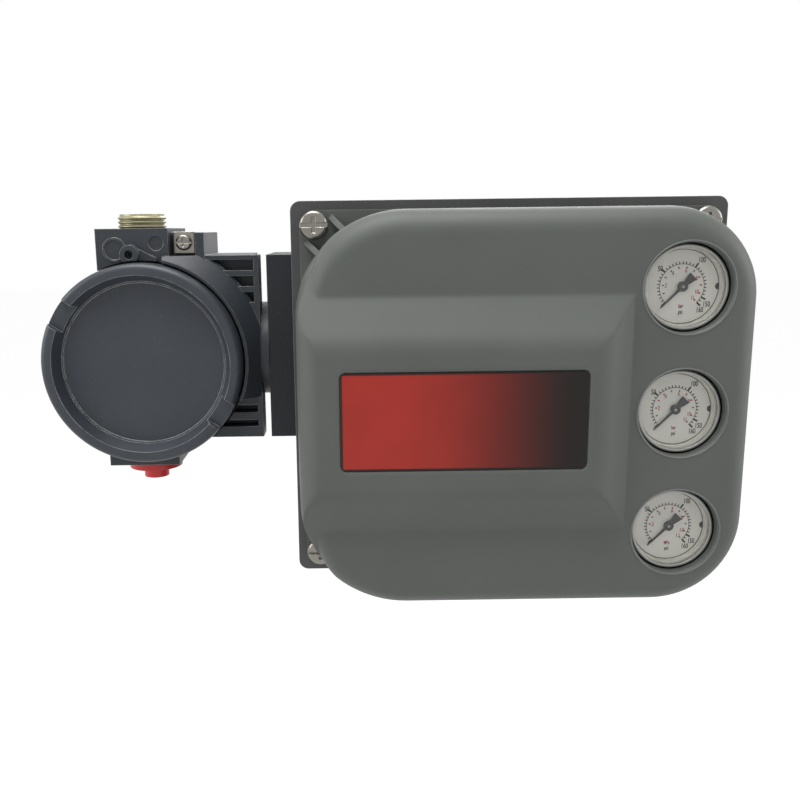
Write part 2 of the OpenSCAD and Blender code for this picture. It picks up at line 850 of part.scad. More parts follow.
// Pockets in the front of the web, outside the flare round the cap
module web_pockets() {
    right = web_x - pocket_margin;
    difference() {
        for (p = [[24, 54, 4.6], [24, 47.1, 4.4], [24, 40.2, 4.4]])
            translate([right - p[0], p[1] - p[2] / 2]) square([p[0], p[2]]);
        translate([box_x, cap_z]) circle(flare_r);
    }
    for (p = [[14, -9.2, 3.3], [18, -15.8, 2.9]])
        translate([right - p[0], p[1] - p[2] / 2]) square([p[0], p[2]]);
}

// Web between the barrel and the housing, with pockets in its front
module box_web() {
    low = [box_x + 10, pad_bottom];
    back = pad_front + pocket_depth;
    block([low[0], back, low[1]], [web_x, pad_back - 4, pad_top]);
    translate([0, back, 0]) rotate([90, 0, 0]) linear_extrude(pocket_depth) difference() {
        translate(low) square([web_x, pad_top] - low);
        web_pockets();
    }
}

// Cone round the right of the cap, which blends the barrel into the web
module cap_flare() {
    intersection() {
        at_box() translate([0, pad_front + over, 0]) rotate([90, 0, 0])
            cylinder(r1 = flare_r + over, r2 = flare_r - flare_h, h = flare_h + over);
        block([box_x + 10, pad_front - 2 * flare_h, flare_bottom], [web_x, pad_back, pad_top]);
    }
}

// Back and right walls of the notch for the earth clamp
module earth_seat() {
    right = block_right + earth_w;
    front = pad_front - 0.6;
    block([block_right - over, earth_y, pad_top - over], [right, block_back, earth_top]);
    block([right - earth_wall, front, pad_top - over], [right, earth_y + over, earth_top]);
}

// Boss for the lock screw, with a ridge that runs down to the right
module lock_boss() {
    boss_h = 3.5;
    ridge_h = 1.6;
    at_lock() rod_y(4, block_front - boss_h, block_front + over);
    at_lock() translate([0, block_front + over, 0]) rotate([90, 0, 0]) linear_extrude(ridge_h + over)
        polygon([[0, 4], [11, -1.5], [11, -5], [0, -4]]);
}

// Grooves of the collar's thread
module collar_thread() {
    for (i = [0 : 2]) {
        y = collar_front + 1.2 + i * cap_pitch;
        at_box() ring_y(collar_r - thread_d, collar_r + over, y, y + thread_w);
    }
}

module terminal_box() {
    color(box_colour) difference() {
        union() {
            difference() {
                union() {
                    at_box() rod_y(barrel_r, cap_back - 8, barrel_back);
                    block([block_x - block_w / 2, block_front, block_bottom],
                        [block_right, block_back, block_top]);
                    box_web();
                    cap_flare();
                    earth_seat();
                    lock_boss();
                }
                at_box() rod_y(cap_r + cap_room, rim_y - over, cap_back + slack);
            }
            at_box() rod_y(collar_r, collar_front, cap_back + 1);
            translate([0, neck_y, neck_z]) rod_x(neck_r, web_x - over, pad_x);
            translate([0, neck_y, neck_z]) rod_x(spigot_r, pad_x - over, pad_x + spigot_len);
            translate([block_x - 7.5, 0, lock_spot[1] + 2.1])
                ring_y(4.3, 5.1, block_front - 0.5, block_front + over);
        }
        at_box() rod_y(compartment_r, collar_front - over, compartment_y);
        translate([block_x, conduit_y, 0]) rod_z(conduit_r + fit, block_bottom - over, block_top + over);
        translate([0, neck_y, neck_z]) rod_x(wire_r, box_x + 10, pad_x + spigot_len + over);
        translate([0, neck_y, neck_z]) rotate([0, 90, 0]) translate([0, 0, pad_x + 3]) rotate_extrude()
            translate([spigot_r - neck_groove_d, 0]) square([neck_groove_d + over, neck_groove_w]);
        for (z = box_screw_z) translate([0, neck_y, z]) rod_x(2.55, web_x - 14, web_x + box_gap + over);
        at_box() ring_y(collar_r - cap_ring_d, collar_r + over, cap_ring_y, cap_ring_y + cap_ring_w);
        collar_thread();
        at_lock() rod_y(lock_r + fit, block_front - 5, block_front + 12);
        at_earth() rod_y(2.05, earth_y - over, earth_y + 16);
        translate([block_x + 10.2, 0, lock_spot[1] + 4.7]) rod_y(3.2, block_front - over, block_front + 0.6);
        at_board_screws() rod_y(1.55, compartment_y - over, compartment_y + 5);
    }
}

module at_lock() {
    translate([lock_spot[0], 0, lock_spot[1]]) children();
}

module at_earth() {
    translate([block_right + (earth_w - earth_wall) / 2, 0, earth_top - 4.2]) children();
}

module neck_seal() {
    color(rubber_colour) translate([0, neck_y, neck_z]) rotate([0, 90, 0])
        translate([0, 0, pad_x + 3 + fit]) rotate_extrude()
            translate([spigot_r - neck_groove_d + fit, 0]) square([neck_groove_d, neck_groove_w - 2 * fit]);
}

module terminal_box_screws() {
    inside = -body_w / 2 + skirt;
    color(nickel_colour) for (z = box_screw_z) translate([0, neck_y, z]) {
        rod_x(2.5, web_x - 13, inside);
        difference() {
            rod_x(4.25, inside, inside + 5);
            translate([inside + 2.5, 0, 0]) rotate([0, 90, 0]) cylinder(r = 2.3, h = 4, $fn = 6);
        }
    }
}

// Round board on four pillars, with two rows of screw terminals
board_y = compartment_y - 12;
board_r = 29;
block_size = [40, 11, 11];

module at_board_screws() {
    at_box() for (a = [45, 135, 225, 315]) rotate([0, a, 0]) translate([25.5, 0, 0]) children();
}

module at_terminals() {
    for (sz = [-1, 1], i = [-1.5, -0.5, 0.5, 1.5])
        translate([i * 9.5, 0, sz * 9]) children();
}

module terminal_board() {
    color(board_colour) {
        difference() {
            at_box() rod_y(board_r, board_y - 1.6, board_y);
            at_board_screws() rod_y(1.6, board_y - 3, board_y + over);
        }
        at_board_screws() ring_y(1.6, 3, board_y, compartment_y);
    }
}

module terminal_blocks() {
    y1 = board_y - 1.6;
    color(black_colour) at_box() difference() {
        for (sz = [-1, 1])
            block([-block_size[0] / 2, y1 - block_size[1], sz * 9 - block_size[2] / 2],
                [block_size[0] / 2, y1, sz * 9 + block_size[2] / 2]);
        at_terminals() rod_y(2.6, y1 - block_size[1] - over, y1 - 4);
        for (i = [-1.5, -0.5, 0.5, 1.5]) translate([i * 9.5, y1 - 5.5, 0]) {
            block([-2, -2, -16], [2, 2, -11]);
            block([-2, -2, 11], [2, 2, 16]);
        }
    }
}

module terminal_screws() {
    y1 = board_y - 1.6;
    color(nickel_colour) at_box() at_terminals() pan_screw(1.4, 3, 2.4, 1.8, y1 - 7);
}

module board_screws() {
    color(nickel_colour) at_board_screws() pan_screw(1.5, 18, 2.7, 2, board_y - 1.6);
}

module cap_o_ring() {
    color(rubber_colour) at_box()
        ring_y(collar_r - cap_ring_d + fit, collar_r + fit, cap_ring_y + fit, cap_ring_y + cap_ring_w - fit);
}

// Screw cap: a stepped rim round a sunken disc, with two notches across the rim for a bar
module terminal_cap() {
    sink = 3.2;
    ledge = 1.8;
    disc_r = 34.1;
    ledge_r = 35.3;
    step_r = 38.3;
    notch_w = 12.5;
    edge = 2.6;
    bevel_run = (step_r - ledge_r) / ledge;
    color(box_colour) at_box() difference() {
        translate([0, cap_back, 0]) rotate([90, 0, 0]) rotate_extrude()
            pillar_profile(cap_r, cap_back - cap_front, edge);
        rod_y(collar_r + thread_gap, cap_front + cap_top_t, cap_back + over);
        rod_y(disc_r, cap_front - over, cap_front + sink);
        translate([0, cap_front + ledge, 0]) rotate([90, 0, 0])
            cylinder(r1 = ledge_r, r2 = step_r + bevel_run * over, h = ledge + over);
        for (a = [-147, 33]) rotate([0, a, 0])
            block([disc_r - 2, cap_front - over, -notch_w / 2],
                [cap_r + over, cap_front + sink, notch_w / 2]);
    }
}

module cap_lock_screw() {
    color(black_colour) at_lock() difference() {
        rod_y(lock_r, block_front - 1, block_front + 10);
        translate([0, block_front - 2, 0]) rotate([-90, 0, 0]) cylinder(r = 1.1, h = 3.5, $fn = 6);
    }
}

clamp_t = 3.6;

module earth_screw() {
    color(nickel_colour) at_earth() pan_screw(2, 14, 3.4, 2.2, earth_y - clamp_t);
}

module earth_clamp() {
    color(nickel_colour) at_earth() difference() {
        block([-4.4, earth_y - clamp_t, -4.6], [4.4, earth_y, 4.6]);
        rod_y(2.1, earth_y - clamp_t - over, earth_y + over);
        block([-4.4 - over, earth_y - 1.4, -4.6 - over], [-1, earth_y + over, 4.6 + over]);
    }
}

// Pipe plug with a thread's crests standing above the block
module conduit_plug() {
    crest = 0.9;
    pitch = 1.81;
    rise = 6.2;
    thread_top = block_top + 3 * pitch;
    color(zinc_colour) translate([block_x, conduit_y, 0]) difference() {
        union() {
            rod_z(conduit_r, block_top - 13, block_top);
            rod_z(conduit_r - crest, block_top - over, block_top + rise);
            for (i = [0 : 2]) translate([0, 0, block_top + i * pitch])
                rotate_extrude() polygon([[0, 0.1], [conduit_r - crest, 0.1], [conduit_r, pitch / 2 - 0.15],
                    [conduit_r, pitch / 2 + 0.15], [conduit_r - crest, pitch - 0.1], [0, pitch - 0.1]]);
        }
        translate([0, 0, thread_top - 6]) cylinder(r = 5.5, h = 8, $fn = 6);
    }
}

// Push-in cap that closes the lower conduit thread
module conduit_cap() {
    flange_t = 5.5;
    stub = 5;
    color(red_colour) translate([block_x, conduit_y, 0]) {
        rod_z(conduit_r + 1.5, block_bottom - flange_t, block_bottom);
        difference() {
            rod_z(conduit_r - 0.4, block_bottom, block_bottom + 10);
            rod_z(conduit_r - 2, block_bottom + 1.5, block_bottom + 11);
        }
        rod_z(5.7, block_bottom - flange_t - stub, block_bottom - flange_t);
    }
}

// Pair of leads from the terminal board, through the neck, to the circuit board
module loop_leads() {
    lead_r = 1.2;
    bend_x = -66;
    color(black_colour) for (s = [-1, 1]) translate([0, neck_y, neck_z + s * 3]) {
        rod_x(lead_r, box_x + board_r + 1.5, bend_x);
        translate([bend_x, 0, 0]) sphere(lead_r);
        translate([bend_x, 0, 0]) rod_y(lead_r, rim_y - 9.5 - neck_y, 0);
    }
}

housing();
vent();
shaft_bush();
travel_sensor();
sensor_screws();
feedback_shaft();
feedback_arm();
arm_clamp_screw();
bias_spring();
module_base();
module_base_seal();
module_screws();
ip_converter();
ip_screws();
ip_shroud();
pneumatic_relay();
relay_seal();
relay_screws();
electronics_module();
electronics_screws();
supply_case();
supply_dial();
supply_pointer();
supply_window();
output_a_case();
output_a_dial();
output_a_pointer();
output_a_window();
output_b_case();
output_b_dial();
output_b_pointer();
output_b_window();
gauge_movements();
cover();
cover_seal();
cover_screws();
label_plate();
terminal_box();
neck_seal();
terminal_box_screws();
terminal_board();
terminal_blocks();
terminal_screws();
board_screws();
cap_o_ring();
terminal_cap();
cap_lock_screw();
earth_screw();
earth_clamp();
conduit_plug();
conduit_cap();
loop_leads();
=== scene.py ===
"""Looks of a valve positioner: painted castings, moulded cover, printed gauges and a pale studio."""

import math

import bmesh
import bpy
from bpy.props import FloatProperty, FloatVectorProperty, PointerProperty
from mathutils import Matrix, Vector


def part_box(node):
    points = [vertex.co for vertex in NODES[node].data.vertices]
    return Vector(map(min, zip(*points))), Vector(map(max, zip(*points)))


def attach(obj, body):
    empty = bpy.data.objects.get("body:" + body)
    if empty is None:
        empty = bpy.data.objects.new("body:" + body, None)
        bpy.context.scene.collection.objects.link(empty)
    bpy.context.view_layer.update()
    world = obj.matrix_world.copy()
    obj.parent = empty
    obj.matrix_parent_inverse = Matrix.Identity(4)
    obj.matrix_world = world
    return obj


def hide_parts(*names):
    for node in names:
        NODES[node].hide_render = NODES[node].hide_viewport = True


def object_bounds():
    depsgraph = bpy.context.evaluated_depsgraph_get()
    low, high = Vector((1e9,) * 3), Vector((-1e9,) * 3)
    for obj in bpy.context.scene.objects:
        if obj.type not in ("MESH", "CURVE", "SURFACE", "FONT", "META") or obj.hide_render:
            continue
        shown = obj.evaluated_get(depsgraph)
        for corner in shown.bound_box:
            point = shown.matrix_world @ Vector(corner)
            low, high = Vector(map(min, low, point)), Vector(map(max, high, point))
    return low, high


bl_info = {
    "name": "Valve positioner looks",
    "version": (1, 0, 0),
    "blender": (4, 5, 0),
    "location": "View3D > Sidebar > Positioner",
    "description": "Dresses the packed valve positioner: finishes, screw cap, gauge print and studio",
    "category": "Object",
}

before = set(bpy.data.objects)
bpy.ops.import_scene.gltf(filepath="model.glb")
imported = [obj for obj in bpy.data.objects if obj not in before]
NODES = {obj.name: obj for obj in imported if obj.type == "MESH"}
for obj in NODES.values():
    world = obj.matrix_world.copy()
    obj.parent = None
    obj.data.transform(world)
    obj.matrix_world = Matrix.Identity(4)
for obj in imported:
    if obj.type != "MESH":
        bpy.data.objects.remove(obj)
CAD_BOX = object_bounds()
GAUGES = ("supply", "output_a", "output_b")
MM = 0.001
DOWN = -math.pi / 2

# Figures and unit of each gauge's inner scale, and the marks that have those figures
BAR_SCALE = (("2", "4", "6", "8", "10", "11"), "bar")
PASCAL_SCALE = ((".2", ".4", ".6", ".8", "1.0", "1.1"), "MPa")
INNER_SCALES = (BAR_SCALE, BAR_SCALE, PASCAL_SCALE)
INNER_VALUES = (2, 4, 6, 8, 10, 11)
INNER_FULL = 11

# The outer scale's end, its steps between ticks and between long ticks, its unit, and each number with its
# radius in millimetres and how far it stands round from its tick, in degrees
OUTER_FULL = 160
OUTER_STEP = 5
OUTER_LONG_STEP = 50
OUTER_UNIT = "psi"
OUTER_NUMBERS = ((50, 11.0, 1), (100, 12.3, -2), (150, 12.0, -7), (160, 11.7, -6))

# Front face of the cover beside the gauge holes, and the radius of the holes' mouths, in millimetres
HOLE_FRONT = -102.5
HOLE_MOUTH = 17.6

# The web beside the barrel, in millimetres: the lowest and highest corners of the room behind its edge, and
# the neck that runs through that room
ROOM_LOW = (-110.1, -39.0, -23.0)
ROOM_HIGH = (-104.6, -9.0, 59.2)
NECK_PLACE = (-107.0, -30.0, 15.5)
NECK_RADIUS = 20.98
NECK_LENGTH = 20.0

# Directions of the screw cap's two notches, in degrees anticlockwise from the right
CAP_NOTCHES = (-33, 147)

# Vertices nearer than this are one vertex
WELD = 0.001 * MM

# Range of the slow noise within which a finish changes its tone and shine
PATCH_RANGE = (0.3, 0.7)

# Pale dust in the paint, as linear values
DUST_COLOUR = (0.6, 0.6, 0.58)


def srgb(red, green, blue):
    """A colour given as screen values from 0 to 255, as linear values."""
    values = [channel / 255 for channel in (red, green, blue)]
    return tuple(v / 12.92 if v <= 0.04045 else ((v + 0.055) / 1.055) ** 2.4 for v in values)


def colour_property(label, words, value):
    """A colour that the user can change."""
    return FloatVectorProperty(
        name=label, description=words, subtype="COLOR", size=3, min=0.0, max=1.0, default=value
    )


def length_property(label, words, millimetres):
    """A length that the user can change, given in millimetres."""
    return FloatProperty(name=label, description=words, default=millimetres * MM, unit="LENGTH")


def angle_property(label, words, degrees):
    """An angle that the user can change, given in degrees."""
    return FloatProperty(name=label, description=words, default=math.radians(degrees), subtype="ANGLE")


class PositionerColours(bpy.types.PropertyGroup):
    """Colours of the finishes."""

    cover: colour_property("Cover", "Moulded plastic of the cover", srgb(78, 81, 78))
    # Lighter than the cover plastic: a painted highlight on the bead round the gauge holes
    lip: colour_property("Cover lip", "Bead round the mouths of the gauge holes", srgb(96, 99, 97))
    casting: colour_property("Casting", "Paint of the module base", srgb(64, 64, 65))
    housing: colour_property("Housing", "Paint of the housing", srgb(32, 34, 38))
    box: colour_property("Terminal box", "Paint of the terminal box", srgb(41, 45, 50))
    cap: colour_property("Screw cap", "Paint of the terminal box's screw cap", srgb(50, 54, 60))
    nickel: colour_property("Nickel", "Plating of the screws", srgb(134, 131, 124))
    steel: colour_property("Steel", "Stainless steel of the arm", srgb(202, 202, 198))
    bezel: colour_property("Bezel", "Brushed steel of the gauge cases", srgb(156, 156, 152))
    liner: colour_property("Dial liner", "Pale ring between the dial and the glass", srgb(214, 211, 200))
    zinc: colour_property("Zinc", "Yellow plating of the pipe plug", srgb(150, 146, 118))
    brass: colour_property("Brass", "Machined brass", (0.62, 0.47, 0.20))
    alloy: colour_property("Alloy", "Machined aluminium", (0.58, 0.58, 0.59))
    black: colour_property("Black plastic", "Moulded inner parts", srgb(34, 34, 35))
    rubber: colour_property("Rubber", "Seals", srgb(24, 24, 24))
    board: colour_property("Board", "Solder mask of the terminal board", srgb(28, 84, 52))
    red: colour_property("Red plastic", "Cap in the lower conduit entry", srgb(176, 22, 28))
    dial: colour_property("Dial", "Printed faces of the gauges", srgb(206, 203, 195))
    ink: colour_property("Ink", "Black print of the gauges", srgb(30, 29, 29))
    pointer: colour_property("Pointer", "Paint of the pointers", srgb(50, 48, 48))
    red_ink: colour_property("Red ink", "Inner scale of the gauges", srgb(158, 58, 54))
    label_bright: colour_property("Label, left", "Red end of the label plate", srgb(150, 48, 41))
    label_dark: colour_property("Label, right", "Dark end of the label plate", srgb(35, 32, 31))


class PositionerDial(bpy.types.PropertyGroup):
    """Layout of the gauge print."""

    arc_radius: length_property("Arc", "Radius of the outer scale's arc", 8.6)
    tick: length_property("Tick", "Length of a small tick of the outer scale", 0.95)
    long_tick: length_property("Long tick", "Length of a long tick of the outer scale", 2.0)
    mark_radius: length_property("Inner marks", "Radius of the inner scale's marks", 7.3)
    inner_numbers: length_property("Inner numbers", "Radius of the inner numbers", 6.2)
    number_size: length_property("Number height", "Height of the outer numbers", 2.9)
    inner_size: length_property("Inner number height", "Height of the inner numbers", 2.32)
    unit_radius: length_property("Unit", "Distance of the outer unit below the middle", 9.8)
    unit_size: length_property("Unit height", "Height of the outer unit", 2.3)
    inner_unit_radius: length_property("Inner unit", "Distance of the inner unit below the middle", 7.5)
    inner_unit_size: length_property("Inner unit height", "Height of the inner unit", 2.1)
    number_width: FloatProperty(
        name="Number width", description="Width of the narrow figures, as a share", default=0.66,
        min=0.3, max=1.0,
    )
    liner_width: length_property("Liner", "Width of the pale ring round the dial", 1.3)
    print_height: length_property("Print height", "Thickness of the printed ink", 0.05)
    zero: angle_property("Zero", "Direction of zero, anticlockwise from the right", 225)
    sweep: angle_property("Sweep", "Angle from zero to full scale", 270)


class PositionerForms(bpy.types.PropertyGroup):
    """Forms of the cover, the screw cap and the pointers."""

    wall_lean: length_property("Wall lean", "How far the cover's left wall leans in at its front", 3.0)
    lean_start: length_property("Lean start", "Depth behind which the wall stands still", -65.0)
    lean_end: length_property("Lean end", "Depth before which the wall leans in fully", -93.0)
    lean_inside: length_property("Lean inside", "Place along X where the lean has faded out", -72.0)
    lean_outside: length_property("Lean outside", "Place along X outside which the lean is full", -86.0)
    cap_lead: length_property("Cap lead", "How far the cap's rim stands before its plain solid", 3.3)
    disc_radius: length_property("Disc radius", "Radius of the cap's sunk disc", 34.6)
    disc_sink: length_property("Disc depth", "Depth of the sunk disc below the rim", 6.5)
    ledge_radius: length_property("Ledge radius", "Radius of the narrow ledge round the disc", 35.4)
    ledge_sink: length_property("Ledge depth", "Depth of the ledge below the rim", 5.9)
    cone_radius: length_property("Cone radius", "Radius where the rim's inner cone ends", 38.0)
    corner: length_property("Rim corner", "Rounding of the rim's outer corner", 2.6)
    bore_radius: length_property("Bore radius", "Radius of the cap's bore", 36.85)
    bore_top: length_property("Bore depth", "Depth of the bore's end below the plain solid's front", 4.5)
    notch_width: length_property("Notch width", "Width of the notches for a bar", 12.5)
    notch_depth: length_property("Notch depth", "Depth of the notches for a bar", 4.2)
    pointer_length: length_property("Pointer", "Length of a pointer from its axis", 11.5)
    tail_length: length_property("Tail", "Length of a pointer's fan-shaped tail", 5.6)
    hub_radius: length_property("Hub", "Radius of a pointer's hub", 1.9)
    soft_rounding: length_property("Soft rounding", "Rounding of the creases in the cover's front", 3.0)


class PositionerStage(bpy.types.PropertyGroup):
    """Camera and floor."""

    camera_place: FloatVectorProperty(
        name="Camera", description="Place of the camera", subtype="TRANSLATION", unit="LENGTH",
        default=(-0.06459, -0.42760, 0.06886),
    )
    camera_yaw: angle_property("Yaw", "Turn of the camera to the left", -0.21)
    camera_pitch: angle_property("Pitch", "Tilt of the camera, up from level", -11.21)
    camera_roll: angle_property("Roll", "Roll of the camera", -0.73)
    lens: FloatProperty(name="Lens", description="Focal length in millimetres", default=38.98)
    shift: FloatProperty(
        name="Shift", description="Sideways shift of the picture, as a share of its width", default=0.052
    )
    floor_drop: length_property("Floor drop", "Distance of the floor below the part", 260.0)


class PositionerSettings(bpy.types.PropertyGroup):
    """All the settings of the part."""

    colours: PointerProperty(type=PositionerColours)
    dial: PointerProperty(type=PositionerDial)
    forms: PointerProperty(type=PositionerForms)
    stage: PointerProperty(type=PositionerStage)


def settings():
    """The settings of the scene at hand."""
    return bpy.context.scene.positioner


# Shader nodes, the groups that finishes share, and the finishes


def make_group(name, inputs, outputs):
    """A new shader node group with these sockets, and its two end nodes."""
    tree = bpy.data.node_groups.new(name, "ShaderNodeTree")
    for label, kind, value in inputs:
        socket = tree.interface.new_socket(name=label, in_out="INPUT", socket_type=kind)
        socket.default_value = value
    for label, kind in outputs:
        tree.interface.new_socket(name=label, in_out="OUTPUT", socket_type=kind)
    start = tree.nodes.new("NodeGroupInput")
    end = tree.nodes.new("NodeGroupOutput")
    return tree, start, end


def feed(tree, socket, value):
    """Links a socket to another, or gives it a number or an opaque colour."""
    if isinstance(value, bpy.types.NodeSocket):
        tree.links.new(value, socket)
    elif isinstance(value, (int, float)):
        socket.default_value = value
    else:
        socket.default_value = (*value, 1.0)


def add_math(tree, operation, first, second, clamp=False):
    """A math node on two values or sockets, and its output."""
    node = tree.nodes.new("ShaderNodeMath")
    node.operation = operation
    node.use_clamp = clamp
    for socket, value in zip(node.inputs, (first, second)):
        feed(tree, socket, value)
    return node.outputs[0]


def add_noise(tree, coordinates, scale, detail):
    """A noise texture's value over the surface."""
    node = tree.nodes.new("ShaderNodeTexNoise")
    node.inputs["Detail"].default_value = detail
    tree.links.new(coordinates, node.inputs["Vector"])
    feed(tree, node.inputs["Scale"], scale)
    return node.outputs["Fac"]


def add_mix(tree, factor, low, high):
    """A colour mix between two colours or sockets, and its output."""
    node = tree.nodes.new("ShaderNodeMix")
    node.data_type = "RGBA"
    factor_in, low_in, high_in = node.inputs[0], node.inputs[6], node.inputs[7]
    for socket, value in ((factor_in, factor), (low_in, low), (high_in, high)):
        feed(tree, socket, value)
    return node.outputs[2]


def add_range(tree, value, low, high, new_low, new_high):
    """A value moved from one range to another, and clamped."""
    node = tree.nodes.new("ShaderNodeMapRange")
    tree.links.new(value, node.inputs["Value"])
    for label, number in (("From Min", low), ("From Max", high), ("To Min", new_low), ("To Max", new_high)):
        node.inputs[label].default_value = number
    return node.outputs["Result"]


def add_place(tree):
    """The place on the surface in the object's own frame, with X, Y and Z apart."""
    place = tree.nodes.new("ShaderNodeTexCoord").outputs["Object"]
    split = tree.nodes.new("ShaderNodeSeparateXYZ")
    tree.links.new(place, split.inputs[0])
    return split.outputs


def add_bump(tree, height, strength, distance):
    """A bump node that lifts the surface by a height."""
    relief = tree.nodes.new("ShaderNodeBump")
    relief.inputs["Strength"].default_value = strength
    relief.inputs["Distance"].default_value = distance
    tree.links.new(height, relief.inputs["Height"])
    return relief


def grain_group():
    """Fine grain of paint or moulded plastic, with slow patches of tone."""
    found = bpy.data.node_groups.get("Surface grain")
    if found:
        return found
    tree, start, end = make_group(
        "Surface grain",
        [("Grain Scale", "NodeSocketFloat", 1500.0), ("Patch Scale", "NodeSocketFloat", 30.0)],
        [("Height", "NodeSocketFloat"), ("Patch", "NodeSocketFloat"), ("Speck", "NodeSocketFloat")],
    )
    coarse_scale, coarse_weight = 0.35, 0.6
    speck_scale, speck_range = 900.0, (0.66, 0.74)
    place = tree.nodes.new("ShaderNodeTexCoord").outputs["Object"]
    fine = add_noise(tree, place, start.outputs["Grain Scale"], 3.0)
    wider = add_math(tree, "MULTIPLY", start.outputs["Grain Scale"], coarse_scale)
    coarse = add_noise(tree, place, wider, 2.0)
    height = add_math(tree, "ADD", fine, add_math(tree, "MULTIPLY", coarse, coarse_weight))
    patch = add_noise(tree, place, start.outputs["Patch Scale"], 4.0)
    speck = add_range(tree, add_noise(tree, place, speck_scale, 1.0), *speck_range, 0.0, 1.0)
    tree.links.new(height, end.inputs["Height"])
    tree.links.new(patch, end.inputs["Patch"])
    tree.links.new(speck, end.inputs["Speck"])
    return tree


def edge_group():
    """Mask of the edges, where a rounded normal parts from the true one; finishes lighten it for wear and a
    painted highlight.
    """
    found = bpy.data.node_groups.get("Edge wear and highlight")
    if found:
        return found
    tree, start, end = make_group(
        "Edge wear and highlight",
        [("Radius", "NodeSocketFloat", 0.6 * MM)],
        [("Edge", "NodeSocketFloat"), ("Normal", "NodeSocketVector")],
    )
    breakup_scale, breakup_range, wear_and_highlight_range = 260.0, (0.35, 0.65), (0.02, 0.16)
    bevel = tree.nodes.new("ShaderNodeBevel")
    bevel.samples = 4
    tree.links.new(start.outputs["Radius"], bevel.inputs["Radius"])
    true_normal = tree.nodes.new("ShaderNodeNewGeometry").outputs["Normal"]
    turn = tree.nodes.new("ShaderNodeVectorMath")
    turn.operation = "DOT_PRODUCT"
    tree.links.new(bevel.outputs["Normal"], turn.inputs[0])
    tree.links.new(true_normal, turn.inputs[1])
    parted = add_math(tree, "SUBTRACT", 1.0, turn.outputs["Value"], clamp=True)
    place = tree.nodes.new("ShaderNodeTexCoord").outputs["Object"]
    breakup = add_range(tree, add_noise(tree, place, breakup_scale, 4.0), *breakup_range, 0.3, 1.0)
    rough_edge = add_math(tree, "MULTIPLY", parted, breakup)
    tree.links.new(add_range(tree, rough_edge, *wear_and_highlight_range, 0.0, 1.0), end.inputs["Edge"])
    tree.links.new(bevel.outputs["Normal"], end.inputs["Normal"])
    return tree


def place_group(material, group, values):
    """A node group placed in a material with its own values."""
    node = material.node_tree.nodes.new("ShaderNodeGroup")
    node.node_tree = group
    for label, value in values.items():
        node.inputs[label].default_value = value
    return node


def new_material(name):
    """An empty node material and its Principled shader."""
    material = bpy.data.materials.new(name)
    material.use_nodes = True
    return material, material.node_tree.nodes["Principled BSDF"]


def surface_finish(
    name, colour, roughness, metallic=0.0, grain=1500.0, bump=0.06, patch=0.12, edge=0.25, radius=0.6,
    speck=0.0, specular=0.5, soft=None,
):
    """A painted, moulded or plated finish with grain, patches of tone and rounded edges, lighter for slight
    wear and a painted highlight.

    radius is the edges' rounding in millimetres, edge how much lighter they are, as wear and a painted
    highlight, patch how much the tone changes from place to place and speck how much pale dust shows. soft
    gives the places along X and along Y between which a softer rounding of the creases fades out, and that
    rounding, all in metres.
    """
    material, shader = new_material(name)
    tree = material.node_tree
    grains = place_group(material, grain_group(), {"Grain Scale": grain})
    edges = place_group(material, edge_group(), {"Radius": radius * MM})
    if soft:
        across, ahead, rounding = soft
        place = add_place(tree)
        left = add_range(tree, place["X"], *across, 1.0, 0.0)
        front = add_range(tree, place["Y"], *ahead, 1.0, 0.0)
        share = add_math(tree, "MULTIPLY", left, front)
        reach = add_range(tree, share, 0.0, 1.0, radius * MM, rounding)
        tree.links.new(reach, edges.inputs["Radius"])
    base = Vector(colour)
    dark, light = base * (1 - patch), base * (1 + patch)
    # Edges go towards white: partly wear, partly a painted highlight on the rounded edges
    wear_and_highlight = base.lerp(Vector((1.0, 1.0, 1.0)), edge)
    patches = grains.outputs["Patch"]
    tone = add_mix(tree, add_range(tree, patches, *PATCH_RANGE, 0.0, 1.0), dark, light)
    tone = add_mix(tree, edges.outputs["Edge"], tone, wear_and_highlight)
    if speck:
        dusty = base.lerp(Vector(DUST_COLOUR), speck)
        tone = add_mix(tree, grains.outputs["Speck"], tone, dusty)
    tree.links.new(tone, shader.inputs["Base Color"])
    smoother, rougher = roughness * 0.9, min(1.0, roughness * 1.12)
    tree.links.new(add_range(tree, patches, *PATCH_RANGE, smoother, rougher), shader.inputs["Roughness"])
    relief = add_bump(tree, grains.outputs["Height"], bump, 0.2 * MM)
    tree.links.new(edges.outputs["Normal"], relief.inputs["Normal"])
    tree.links.new(relief.outputs["Normal"], shader.inputs["Normal"])
    shader.inputs["Metallic"].default_value = metallic
    shader.inputs["Specular IOR Level"].default_value = specular
    return material


def clear_glass(name):
    """Clear gauge glass."""
    material, shader = new_material(name)
    shader.inputs["Base Color"].default_value = (0.97, 0.98, 0.98, 1.0)
    shader.inputs["Roughness"].default_value = 0.02
    shader.inputs["IOR"].default_value = 1.3
    shader.inputs["Transmission Weight"].default_value = 1.0
    return material


def edge_distance(tree, value, low, high):
    """How far inside a range a coordinate is."""
    offset = add_math(tree, "ABSOLUTE", add_math(tree, "SUBTRACT", value, (low + high) / 2), 0.0)
    return add_math(tree, "SUBTRACT", (high - low) / 2, offset)


